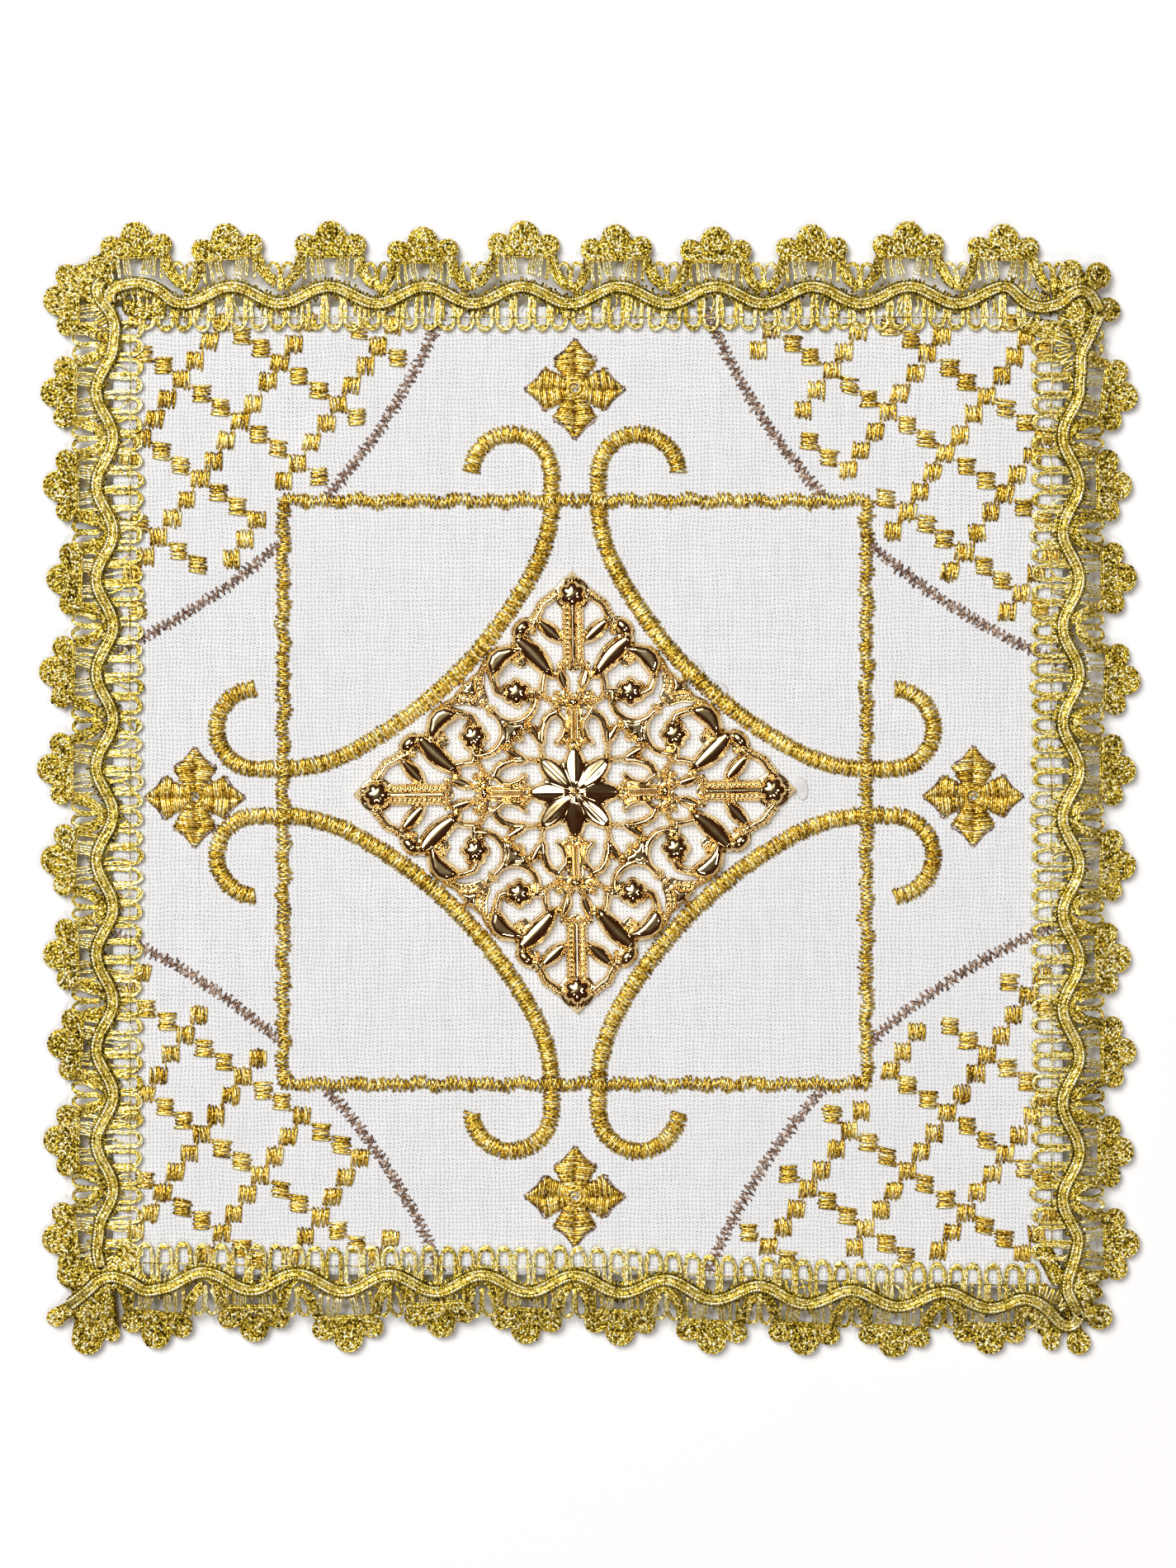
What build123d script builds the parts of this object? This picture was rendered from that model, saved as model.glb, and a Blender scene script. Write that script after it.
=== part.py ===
from build123d import *

import math
import os

# A chalice pall: a stiff square of linen, embroidered and edged with crocheted lace, with a stamped
# gilt filigree medallion glued to its middle. The board inside slides out of the pocket's open edge.
# Units are millimetres. The origin is under the middle of the pall, on the surface it rests on.
# +Y points to the closed edge of the pocket and -Y to its mouth.

# Linen pocket and the board in it
linen_width = 151.4
linen_length = 154.4
linen_thickness = 0.5
hem_width = 3.0
board_thickness = 1.4
board_gap = 0.1
board_side_gap = 0.3
board_mouth_inset = 0.5
board_corner_radius = 1.5

# Heights of what lies on the linen
flat_stitch_height = 0.35
satin_height = 0.7
lace_thickness = 0.6
gimp_height = 0.9
thread_diameter = 0.3

# Lace edging: distances outward from the middle line of its gimp braid
gimp_half_width_x = 76.9
gimp_half_width_y = 78.85
gimp_width = 2.1
wave_height = 1.4
fan_reach = 10.7
middle_lobe_radius = 2.15
side_lobe_radius = 1.6
side_lobe_offset = 3.95
side_lobe_reach = 6.9
fan_foot_half_width = 7.0
fan_waist_half_width = 4.8
fan_waist_reach = 5.4
fan_top_half_width = 3.0
fan_top_reach = 7.7
bar_slot_offset = 3.1
bar_slot_reach = 3.7
bar_slot_width = 1.2
bar_slot_length = 2.4
trough_loop_offset = 1.15
trough_loop_reach = 4.7
trough_loop_radius = 1.2
trough_loop_hole = 0.5
gimp_seat_margin = 0.5
header_depth = 4.7
picot_pitch = 3.0
picot_radius = 1.2
ladder_slot_depth = 2.7
ladder_slot_width = 1.5
ladder_slot_length = 2.4
sewing_line_depth = 3.6
sewing_end_gap = 0.5
corner_fan_pull = 2.6
mitre_gap = 0.1

# Each side of the edging: turn about Z, place of its first fan along it, fan spacing and fan count
lace_sides = {
    "north": (0, -72.1, 15.4, 10),
    "east": (-90, -64.0, 15.18, 10),
    "south": (180, -64.1, 14.72, 10),
    "west": (90, -70.9, 14.94, 11),
}

# Embroidery, measured from its own centre, which sits a little off the middle of the linen
embroidery_x = -2.1
embroidery_y = -0.3
frame_half_side = 46.5
frame_line_width = 1.9
scroll_line_width = 2.7
scroll_hook_radius = 6.4
scroll_straight = 4.0
scroll_tight_radius = 24.0
scroll_tight_turn = 28.0
scroll_wide_radius = 70.0
scroll_wide_centre = 68.35
bronze_line_width = 1.6
bronze_circle_centre = 115.0
bronze_circle_radius = 101.4
cross_places = {"north": (0, 64.3), "east": (63.5, -0.6), "south": (0, -64.4), "west": (-60.6, -0.8)}
cross_tip = 8.1
cross_point_foot = 6.1
cross_shoulder = 4.9
cross_half_width = 3.4
cross_neck = 1.6
lattice_cell_right = (9.24, -6.55)
lattice_cell_left = (-6.43, -9.29)
lattice_steps = 3
lattice_cells_each_way = 10
lattice_patch = 2.7
lattice_margin_share = 0.75
lattice_nodes = {"nw": (-53.4, 59.2), "ne": (59.2, 54.1), "sw": (-40.8, -67.6), "se": (62.2, -66.9)}

# Medallion
glue_height = 0.15
medallion_sheet = 0.5
medallion_relief = 1.1
glue_radius = 3.0
corner_glue_radius = 1.3
corner_glue_reach = 15.6
flower_petal_reach = 0.62
flower_petal_share = 0.4
flower_heart_share = 0.6

# Pocket seam
seam_stitch_pitch = 4.0
seam_stitch_width = 0.35
seam_stitch_lean = 25.0

back_top = linen_thickness
board_bottom = back_top + board_gap
face_bottom = board_bottom + board_thickness + board_gap
face_top = face_bottom + linen_thickness
lace_bottom = face_top + flat_stitch_height
lace_top = lace_bottom + lace_thickness

corner_signs = {"nw": (-1, 1), "ne": (1, 1), "se": (1, -1), "sw": (-1, -1)}


def block(width, length, height, x, y, z):
    """A box standing on z, centred on x and y."""
    return Pos(x, y, z) * Box(width, length, height, align=(Align.CENTER, Align.CENTER, Align.MIN))


def joined(shapes):
    """One sketch of all these flat shapes, each turned to face up."""
    faces = [face for shape in shapes for face in shape.faces()]
    return Sketch() + [face if face.normal_at().Z > 0 else -face for face in faces]


def standing(sketch, z, height):
    """A sketch drawn on the XY plane, raised to z and made that high."""
    return Pos(0, 0, z) * extrude(sketch, height, dir=(0, 0, 1))


def mirrored(shape, sign_x, sign_y):
    """A shape drawn in the north-west quarter, moved by mirroring to the quarter with those signs."""
    if sign_x > 0:
        shape = mirror(shape, about=Plane.YZ)
    if sign_y < 0:
        shape = mirror(shape, about=Plane.XZ)
    return shape


def disc(x, y, radius):
    return Pos(x, y) * Circle(radius)


def bar(start, end, width):
    """A round-ended bar from start to end."""
    length = math.dist(start, end)
    angle = math.degrees(math.atan2(end[1] - start[1], end[0] - start[0]))
    middle = ((start[0] + end[0]) / 2, (start[1] + end[1]) / 2)
    return Pos(*middle) * Rot(0, 0, angle) * SlotOverall(length + width, width)


def arc_band(centre, radius, start_angle, turn, width):
    """A band of that width along an arc."""
    outer = CenterArc(centre, radius + width / 2, start_angle, turn)
    inner = CenterArc(centre, radius - width / 2, start_angle, turn)
    return make_face([outer, Line(outer @ 1, inner @ 1), inner, Line(inner @ 0, outer @ 0)])


def leaf(start, end, width, lean=0.0):
    """A pointed leaf from start to end. A lean above 0 bows it to its left."""
    length = math.dist(start, end)
    along = ((end[0] - start[0]) / length, (end[1] - start[1]) / length)
    left = (-along[1], along[0])
    middle = ((start[0] + end[0]) / 2, (start[1] + end[1]) / 2)
    high = lean + width / 2
    low = lean - width / 2
    upper = ThreePointArc(start, (middle[0] + left[0] * high, middle[1] + left[1] * high), end)
    lower = ThreePointArc(end, (middle[0] + left[0] * low, middle[1] + left[1] * low), start)
    return make_face([upper, lower])


def flower(x, y, radius, petals=6):
    """A small round flower of petals about a middle."""
    places = [math.radians(90 + 360 * i / petals) for i in range(petals)]
    reach = radius * flower_petal_reach
    size = radius * flower_petal_share
    shapes = [disc(x + reach * math.cos(a), y + reach * math.sin(a), size) for a in places]
    return shapes + [disc(x, y, radius * flower_heart_share)]


def linen_pocket():
    """Two linens, joined on three sides by their folded hems and open on the south side."""
    half_width = linen_width / 2
    half_length = linen_length / 2
    hem_height = face_bottom - back_top
    north_length = linen_width - 2 * hem_width
    east_hem_x = half_width - hem_width / 2
    north_hem_y = half_length - hem_width / 2
    return {
        "linen_back": block(linen_width, linen_length, linen_thickness, 0, 0, 0),
        "linen_face": block(linen_width, linen_length, linen_thickness, 0, 0, face_bottom),
        "hem_fold_west": block(hem_width, linen_length, hem_height, -east_hem_x, 0, back_top),
        "hem_fold_east": block(hem_width, linen_length, hem_height, east_hem_x, 0, back_top),
        "hem_fold_north": block(north_length, hem_width, hem_height, 0, north_hem_y, back_top),
    }


def stiffener_board():
    width = linen_width - 2 * (hem_width + board_side_gap)
    north_end = linen_length / 2 - hem_width - board_side_gap
    south_end = board_mouth_inset - linen_length / 2
    outline = RectangleRounded(width, north_end - south_end, board_corner_radius)
    return Pos(0, (north_end + south_end) / 2) * standing(outline, board_bottom, board_thickness)


def pocket_seam_thread():
    """Slanting overcast stitches up the three closed sides of the pocket."""
    height = face_bottom - back_top + linen_thickness
    stitch = Box(seam_stitch_width, seam_stitch_width, height)
    middle_z = back_top - linen_thickness / 2 + height / 2
    out_x = (linen_width + seam_stitch_width) / 2
    out_y = (linen_length + seam_stitch_width) / 2
    side_count = int(linen_length / seam_stitch_pitch) - 1
    end_count = int(linen_width / seam_stitch_pitch) - 1
    stitches = []
    for i in range(side_count):
        along = (i - (side_count - 1) / 2) * seam_stitch_pitch
        stitches.append(Pos(-out_x, along, middle_z) * Rot(seam_stitch_lean, 0, 0) * stitch)
        stitches.append(Pos(out_x, along, middle_z) * Rot(-seam_stitch_lean, 0, 0) * stitch)
    for i in range(end_count):
        along = (i - (end_count - 1) / 2) * seam_stitch_pitch
        stitches.append(Pos(along, out_y, middle_z) * Rot(0, seam_stitch_lean, 0) * stitch)
    return Compound(children=stitches)


def scroll_sketch():
    """The north-west scroll: a hook, a straight neck and a bow of two radii, mirrored in its diagonal."""
    turn = math.radians(scroll_tight_turn)
    shift = scroll_wide_radius - scroll_tight_radius
    wide_turn = 45 - scroll_tight_turn
    wide_centre = (-scroll_wide_centre, scroll_wide_centre)
    tight_centre = (wide_centre[0] + shift * math.cos(turn), wide_centre[1] - shift * math.sin(turn))
    neck_x = tight_centre[0] + scroll_tight_radius
    hook_centre = (neck_x - scroll_hook_radius, tight_centre[1] + scroll_straight)
    neck = Pos(neck_x, tight_centre[1] + scroll_straight / 2) * Rectangle(scroll_line_width, scroll_straight)
    width = scroll_line_width
    half = [
        arc_band(hook_centre, scroll_hook_radius, 0, 180, width),
        neck,
        arc_band(tight_centre, scroll_tight_radius, -scroll_tight_turn, scroll_tight_turn, width),
        arc_band(wide_centre, scroll_wide_radius, -45, wide_turn, width),
    ]
    diagonal = Plane(origin=(0, 0, 0), z_dir=(1, 1, 0))
    return joined(half + [mirror(shape, about=diagonal) for shape in half])


def bronze_sketch(lace_limit_x, lace_limit_y):
    """The north-west bronze arc, cut where the square frame passes and at the edge of the linen."""
    centre = (-bronze_circle_centre, bronze_circle_centre)
    band = arc_band(centre, bronze_circle_radius, -90, 90, bronze_line_width)
    inside_frame = frame_half_side + frame_line_width / 2
    linen = Pos(-lace_limit_x / 2, lace_limit_y / 2) * Rectangle(lace_limit_x, lace_limit_y)
    return (joined([band]) & linen) - Rectangle(2 * inside_frame, 2 * inside_frame)


def cross_sketch():
    """A cross of four spade-ended arms."""
    arm = Polygon(
        (-cross_neck, 0), (-cross_neck, cross_neck), (-cross_half_width, cross_shoulder),
        (-cross_half_width / 2, cross_point_foot), (0, cross_tip),
        (cross_half_width / 2, cross_point_foot), (cross_half_width, cross_shoulder),
        (cross_neck, cross_neck), (cross_neck, 0), align=None,
    )
    return joined([Rot(0, 0, turn) * arm for turn in (0, 90, 180, 270)])


def lattice_patches(corner, reach_x, reach_y):
    """The small squares of stitches on the slanting lattice in one corner."""
    sign_x, sign_y = corner_signs[corner]
    node = lattice_nodes[corner]
    margin = lattice_patch * lattice_margin_share
    arc_limit = bronze_circle_radius - bronze_line_width / 2 - margin
    frame_limit = frame_half_side + frame_line_width / 2 + margin
    patches = []
    span = lattice_cells_each_way * lattice_steps
    for i in range(-span, span + 1):
        for j in range(-span, span + 1):
            if i % lattice_steps and j % lattice_steps:
                continue
            x = node[0] + (i * lattice_cell_right[0] + j * lattice_cell_left[0]) / lattice_steps
            y = node[1] + (i * lattice_cell_right[1] + j * lattice_cell_left[1]) / lattice_steps
            beyond_arc = math.dist((x, y), (sign_x * bronze_circle_centre, sign_y * bronze_circle_centre))
            outside_frame = max(abs(x), abs(y)) > frame_limit
            on_linen = abs(x + embroidery_x) < reach_x - margin and abs(y + embroidery_y) < reach_y - margin
            if beyond_arc < arc_limit and outside_frame and on_linen:
                patches.append(Pos(x, y) * Rectangle(lattice_patch, lattice_patch))
    return patches


def embroidery():
    """Every piece of stitching, in its place on the face linen."""
    place = Pos(embroidery_x, embroidery_y, 0)
    reach_x = linen_width / 2
    reach_y = linen_length / 2
    nodes = {}
    scroll = scroll_sketch()
    scrolls = []
    for corner, (sign_x, sign_y) in corner_signs.items():
        sketch = joined([mirrored(scroll, sign_x, sign_y)])
        scrolls.append(sketch)
        nodes["scroll_line_" + corner] = place * standing(sketch, face_top, satin_height)
        limit_x = reach_x + sign_x * -embroidery_x
        limit_y = reach_y + sign_y * -embroidery_y
        bronze = joined([mirrored(bronze_sketch(limit_x, limit_y), sign_x, sign_y)])
        nodes["bronze_arc_" + corner] = place * standing(bronze, face_top, flat_stitch_height)
        patches = lattice_patches(corner, reach_x, reach_y)
        patch_solids = [place * standing(patch, face_top, flat_stitch_height) for patch in patches]
        nodes["lattice_" + corner] = Compound(children=patch_solids)
    outer = 2 * frame_half_side + frame_line_width
    inner = 2 * frame_half_side - frame_line_width
    frame = Rectangle(outer, outer) - Rectangle(inner, inner) - scrolls
    nodes["satin_square_frame"] = place * standing(frame, face_top, satin_height)
    cross = cross_sketch()
    for side, (x, y) in cross_places.items():
        nodes["cross_" + side] = place * Pos(x, y, 0) * standing(cross, face_top, satin_height)
    return nodes


def fan_shapes(along, pull=0.0, turn=0.0, corner=(0, 0)):
    """One fan of the edging: three lobes on a body that stands on the gimp."""
    lobes = [
        disc(0, fan_reach - middle_lobe_radius - pull, middle_lobe_radius),
        disc(-side_lobe_offset, side_lobe_reach - pull, side_lobe_radius),
        disc(side_lobe_offset, side_lobe_reach - pull, side_lobe_radius),
    ]
    waist = fan_waist_reach - pull
    top = fan_top_reach - pull
    body = Polygon(
        (-fan_foot_half_width, 0), (-fan_waist_half_width, waist), (-fan_top_half_width, top),
        (fan_top_half_width, top), (fan_waist_half_width, waist), (fan_foot_half_width, 0), align=None,
    )
    return [Pos(corner[0] + along, corner[1]) * Rot(0, 0, turn) * shape for shape in lobes + [body]]


def lace_outline(half_length, depth_in, depth_out):
    """The stretch of one side between its two mitres."""
    inner = half_length - depth_in - mitre_gap / 2
    outer = half_length + depth_out - mitre_gap / 2
    corners = [(-inner, -depth_in), (inner, -depth_in), (outer, depth_out), (-outer, depth_out)]
    return Polygon(*corners, align=None)


def wave_band(half_length, first_fan, pitch, width):
    """The waving band of the gimp, its crests under the fans."""
    points_per_wave = 8
    count = int((2 * half_length + 2 * pitch) / pitch * points_per_wave)
    stations = [-half_length - pitch + i * pitch / points_per_wave for i in range(count + 1)]
    rise = [wave_height * math.cos(2 * math.pi * (s - first_fan) / pitch) for s in stations]
    upper = Spline([(s, t + width / 2) for s, t in zip(stations, rise)])
    lower = Spline([(s, t - width / 2) for s, t in zip(stations, rise)])
    return make_face([upper, Line(upper @ 1, lower @ 1), lower, Line(lower @ 0, upper @ 0)])


def lace_side(half_length, first_fan, pitch, fan_count):
    """One side of the edging, drawn along X with its fans towards +Y: the lace and its gimp."""
    shapes = []
    holes = []
    for i in range(fan_count):
        along = first_fan + i * pitch
        shapes += fan_shapes(along)
        for offset in (-bar_slot_offset, 0, bar_slot_offset):
            slot = SlotOverall(bar_slot_length, bar_slot_width, 90)
            holes.append(Pos(along + offset, bar_slot_reach) * slot)
    for i in range(fan_count - 1):
        trough = first_fan + (i + 0.5) * pitch
        for x in (trough - trough_loop_offset, trough + trough_loop_offset):
            shapes.append(disc(x, trough_loop_reach, trough_loop_radius))
            holes.append(disc(x, trough_loop_reach, trough_loop_hole))
    for end in (-1, 1):
        shapes += fan_shapes(0, corner_fan_pull, -45 * end, (end * half_length, 0))
    ladder_count = int(2 * half_length / picot_pitch)
    for i in range(ladder_count):
        along = (i - (ladder_count - 1) / 2) * picot_pitch
        shapes.append(disc(along, -header_depth, picot_radius))
        holes.append(Pos(along, -ladder_slot_depth) * SlotOverall(ladder_slot_length, ladder_slot_width, 90))
    header = Pos(0, -header_depth / 2) * Rectangle(2 * half_length, header_depth)
    under_gimp = wave_band(half_length, first_fan, pitch, gimp_width + 2 * gimp_seat_margin)
    stretch = lace_outline(half_length, header_depth + picot_radius, fan_reach)
    gimp = joined([wave_band(half_length, first_fan, pitch, gimp_width)]) & stretch
    lace = (joined(shapes + [header, under_gimp]) - holes + gimp) & stretch
    return lace, gimp


def edging():
    """Four mitred lengths of lace with their gimp, and the thread that sews them down."""
    nodes = {}
    threads = []
    for side, (turn, first_fan, pitch, fan_count) in lace_sides.items():
        upright = side in ("east", "west")
        half_length = gimp_half_width_y if upright else gimp_half_width_x
        distance = gimp_half_width_x if upright else gimp_half_width_y
        place = Rot(0, 0, turn) * Pos(0, distance, 0)
        lace, gimp = lace_side(half_length, first_fan, pitch, fan_count)
        nodes["lace_" + side] = place * standing(lace, lace_bottom, lace_thickness)
        nodes["gimp_braid_" + side] = place * standing(gimp, lace_top, gimp_height)
        sewn_length = 2 * (half_length - sewing_line_depth - sewing_end_gap)
        thread = block(sewn_length, thread_diameter, thread_diameter, 0, -sewing_line_depth, lace_top)
        threads.append(place * thread)
    nodes["lace_sewing_thread"] = Compound(children=threads)
    return nodes


def filigree_eighth():
    """Flat work and raised work of one eighth of the medallion, left of its north arm."""
    flat = [
        bar((0, 18.5), (0, 30.0), 2.2),
        bar((-1.7, 20.8), (-1.7, 30.2), 0.8),
        bar((0, 20.9), (-2.6, 20.7), 0.9),
        disc(0, 34.4, 0.9),
        disc(0, 33.6, 0.9),
        bar((-2.0, 31.4), (-7.6, 27.0), 0.9),
        bar((-8.9, 25.6), (-8.6, 23.6), 1.1),
        bar((-9.0, 24.2), (-13.6, 20.6), 0.9),
        bar((-13.6, 20.6), (-15.6, 17.2), 0.9),
        arc_band((-9.1, 16.1), 4.1, 70, 290, 0.9),
        bar((-5.0, 16.3), (-7.6, 16.3), 0.8),
        bar((-12.4, 13.6), (-13.4, 13.4), 0.8),
        bar((-16.9, 16.9), (-14.9, 14.9), 2.6),
        bar((-10.9, 10.9), (-9.0, 9.0), 2.6),
        bar((-12.6, 12.6), (-9.5, 9.5), 0.8),
        arc_band((-9.8, 6.2), 5.3, 10, 62, 0.9),
        bar((-6.9, 10.6), (-9.0, 9.4), 0.9),
        bar((-5.0, 7.0), (-5.0, 4.4), 0.8),
        bar((0, 6.0), (0, 19.0), 1.5),
        bar((-1.5, 8.6), (-2.0, 13.4), 0.9),
        bar((-2.0, 13.4), (-2.6, 15.0), 1.6),
        bar((0, 14.8), (-5.2, 15.4), 1.0),
        bar((-1.0, 16.2), (-2.4, 19.4), 1.2),
        bar((0, 8.8), (-1.5, 8.8), 0.9),
        bar((0, 13.4), (-2.0, 13.4), 0.9),
    ]
    raised = [
        leaf((-5.6, 27.5), (-1.5, 23.6), 1.6),
        leaf((-7.2, 27.8), (-9.8, 25.0), 1.9),
        leaf((-8.4, 24.0), (-13.9, 18.9), 2.3, -0.7),
        leaf((-8.6, 23.9), (-3.3, 18.7), 2.2, 0.5),
        *flower(-9.1, 16.1, 2.3),
        *flower(0, 31.8, 2.4),
        leaf((0, 0), (0, 7.0), 2.4),
        leaf((0, 0), (-4.95, 4.95), 2.4),
        disc(0, 0, 3.2),
    ]
    return flat, raised


def medallion():
    """The stamped filigree and the dabs of glue under it."""
    flat, raised = filigree_eighth()
    diagonal = Plane(origin=(0, 0, 0), z_dir=(1, 1, 0))
    flat_work = [joined(flat + raised)]
    raised_work = [joined(raised)]
    for about in (diagonal, Plane.YZ, Plane.XZ):
        flat_work += [mirror(shape, about=about) for shape in flat_work]
        raised_work += [mirror(shape, about=about) for shape in raised_work]
    bottom = face_top + glue_height
    sheet = standing(joined(flat_work), bottom, medallion_sheet)
    relief = standing(joined(raised_work), bottom + medallion_sheet, medallion_relief)
    dabs = [standing(disc(0, 0, glue_radius), face_top, glue_height)]
    for sign_x, sign_y in corner_signs.values():
        dab = disc(sign_x * corner_glue_reach, sign_y * corner_glue_reach, corner_glue_radius)
        dabs.append(standing(dab, face_top, glue_height))
    place = Pos(embroidery_x, embroidery_y, 0)
    return {
        "filigree_medallion": place * (sheet + relief),
        "medallion_glue": place * Compound(children=dabs),
    }


def main():
    os.makedirs("parts", exist_ok=True)
    nodes = linen_pocket()
    nodes["stiffener_board"] = stiffener_board()
    nodes["pocket_seam_thread"] = pocket_seam_thread()
    nodes.update(embroidery())
    nodes.update(edging())
    nodes.update(medallion())
    for name, shape in nodes.items():
        export_step(shape, os.path.join("parts", name + ".step"))
        print(name, round(shape.volume, 2))


main()
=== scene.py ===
import math

import bpy
import numpy as np
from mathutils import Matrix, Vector

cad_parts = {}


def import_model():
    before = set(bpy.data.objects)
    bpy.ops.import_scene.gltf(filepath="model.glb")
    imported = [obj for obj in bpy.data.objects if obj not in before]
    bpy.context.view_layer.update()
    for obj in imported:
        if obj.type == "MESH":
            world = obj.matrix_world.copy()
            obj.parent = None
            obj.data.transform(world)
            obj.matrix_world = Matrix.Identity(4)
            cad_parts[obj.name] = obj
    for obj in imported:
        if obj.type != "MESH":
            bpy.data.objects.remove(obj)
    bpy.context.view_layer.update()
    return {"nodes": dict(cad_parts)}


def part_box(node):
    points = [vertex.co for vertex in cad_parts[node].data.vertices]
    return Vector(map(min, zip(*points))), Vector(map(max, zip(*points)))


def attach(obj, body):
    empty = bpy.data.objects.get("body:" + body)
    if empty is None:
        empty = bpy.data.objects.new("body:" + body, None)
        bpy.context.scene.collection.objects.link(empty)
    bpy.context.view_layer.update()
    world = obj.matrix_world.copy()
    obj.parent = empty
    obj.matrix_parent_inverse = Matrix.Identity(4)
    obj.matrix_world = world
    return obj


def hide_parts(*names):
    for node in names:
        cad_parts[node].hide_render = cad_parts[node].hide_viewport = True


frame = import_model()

# The looks of the chalice pall: woven linen, stitched embroidery, crocheted lace with its gimp braid,
# and the stamped gilt filigree. Shapes are worked out in millimetres and made in metres.

MM = 0.001
UP = np.array([0.0, 0.0, 1.0])
rng = np.random.default_rng(20)

# Driving dimensions in millimetres, most of them shared with the CAD
embroidery_centre = np.array([-2.1, -0.3])
frame_half_side = 46.5
scroll_width = 2.7
scroll_hook_radius = 6.4
scroll_straight = 4.0
scroll_tight_radius = 24.0
scroll_tight_turn = 28.0
scroll_wide_radius = 70.0
scroll_wide_centre = 68.35
bronze_circle_centre = 115.0
bronze_circle_radius = 101.4
bronze_width = 1.6
cross_places = {"north": (0, 64.3), "east": (63.5, -0.6), "south": (0, -64.4), "west": (-60.6, -0.8)}
cross_outline = [(1.6, 1.6), (3.4, 4.9), (1.7, 6.1), (0.0, 8.1)]
lattice_cell_right = np.array([9.24, -6.55])
lattice_cell_left = np.array([-6.43, -9.29])
lattice_steps = 3
lattice_patch = 2.7
lattice_nodes = {"nw": (-53.4, 59.2), "ne": (59.2, 54.1), "sw": (-40.8, -67.6), "se": (62.2, -66.9)}
# Each side's turn in degrees, the place of its first fan, the fans' pitch and their number
lace_sides = {
    "north": (0, -72.1, 15.4, 10),
    "east": (-90, -64.0, 15.18, 10),
    "south": (180, -64.1, 14.72, 10),
    "west": (90, -70.9, 14.94, 11),
}
gimp_half_width = {"north": 78.85, "south": 78.85, "east": 76.9, "west": 76.9}
gimp_half_length = {"north": 76.9, "south": 76.9, "east": 78.85, "west": 78.85}
wave_height = 1.4
picot_pitch = 3.0
sewing_line_depth = {"north": 3.5, "east": 3.1, "south": 2.6, "west": 4.0}
picot_depth = {"north": 5.4, "east": 6.1, "south": 5.7, "west": 5.8}
# How far the south edge sags at places along it, then the rest of the scene's own dimensions
south_sag = ((-70, -40, 5, 20, 40, 66), (-1.0, -0.5, -0.3, 1.0, 2.0, 2.5))
linen_sag_share = 0.85
sag_begins = 55
linen_wave = 0.035
lace_droop = 2.1
droop_begins = 1
droop_over = 7.5
fan_reach_beyond = {"north": 0.9, "east": -0.1, "south": -0.3, "west": -0.3}
# How much each stitch is darkened at its tips and lightened at its crown: painted shade and painted highlight
painted_tip_shade = 0.3
corner_signs = {"nw": (-1, 1), "ne": (1, 1), "se": (1, -1), "sw": (-1, -1)}


def low(node):
    """A CAD node's lowest corner in millimetres."""
    return np.array(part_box(node)[0]) / MM


def high(node):
    """A CAD node's highest corner in millimetres."""
    return np.array(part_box(node)[1]) / MM


face_top = high("linen_face")[2]
lace_low = low("lace_north")[2]
lace_top = high("lace_north")[2]
gimp_top = high("gimp_braid_north")[2]
medallion_low = low("filigree_medallion")[2]
linen_high = high("linen_face")


# ---------------------------------------------------------------- meshes

def tube_faces(steps, sides):
    """Quads round a thread of that many rings, and the triangles over its two ends."""
    i, j = np.meshgrid(np.arange(steps - 1), np.arange(sides), indexing="ij")
    k = (j + 1) % sides
    wall = np.stack([i * sides + j, i * sides + k, (i + 1) * sides + k, (i + 1) * sides + j], axis=-1)
    around = np.arange(sides)
    onward = (around + 1) % sides
    tip, last = steps * sides, (steps - 1) * sides
    caps = np.concatenate([
        np.stack([np.full(sides, tip), onward, around], axis=1),
        np.stack([np.full(sides, tip + 1), last + around, last + onward], axis=1),
    ])
    return wall.reshape(-1, 4), caps


def tubes(paths, radius, sides=5, flat=1.0, tone=None):
    """Closed round threads along many paths of equal length at once, as one part of a mesh."""
    paths = np.asarray(paths, float)
    count, steps = paths.shape[:2]
    along = np.gradient(paths, axis=1)
    along = along / (np.linalg.norm(along, axis=2, keepdims=True) + 1e-9)
    side = np.cross(UP, along)
    side = side / (np.linalg.norm(side, axis=2, keepdims=True) + 1e-9)
    lift = np.cross(along, side)
    turns = np.arange(sides) * 2 * math.pi / sides
    ring = np.cos(turns)[:, None] * side[:, :, None, :] + flat * np.sin(turns)[:, None] * lift[:, :, None, :]
    wide = np.broadcast_to(np.asarray(radius, float), (count, steps))
    skin = paths[:, :, None, :] + wide[:, :, None, None] * ring
    ends = np.stack([
        paths[:, 0] - along[:, 0] * wide[:, 0, None] * 0.5,
        paths[:, -1] + along[:, -1] * wide[:, -1, None] * 0.5,
    ], axis=1)
    points = np.concatenate([skin.reshape(count, steps * sides, 3), ends], axis=1)
    wall, caps = tube_faces(steps, sides)
    base = (np.arange(count) * (steps * sides + 2))[:, None, None]

    def at_points(values):
        return np.concatenate([np.repeat(values, sides, axis=1), values[:, :1], values[:, -1:]], axis=1)

    if tone is None:
        tone = rng.random(count)
    tone = np.asarray(tone, float)
    if tone.ndim < 2:
        tone = np.broadcast_to(np.broadcast_to(tone, (count,))[:, None], (count, steps))
    gaps = np.linalg.norm(np.diff(paths, axis=1), axis=2)
    travelled = np.concatenate([np.zeros((count, 1)), np.cumsum(gaps, axis=1)], axis=1)
    run = at_points(travelled) + rng.random((count, 1)) * 50
    quads, tris = (wall[None] + base).reshape(-1, 4), (caps[None] + base).reshape(-1, 3)
    return points.reshape(-1, 3), quads, tris, at_points(tone).ravel(), run.ravel()


def leftward(along):
    """The directions a quarter turn to the left of these."""
    return np.stack([-along[:, 1], along[:, 0]], axis=1)


def lifted_to(flat, height):
    """Flat points, or rows of them, with their heights."""
    return np.concatenate([flat, np.asarray(height, float)[..., None]], axis=-1)


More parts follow.
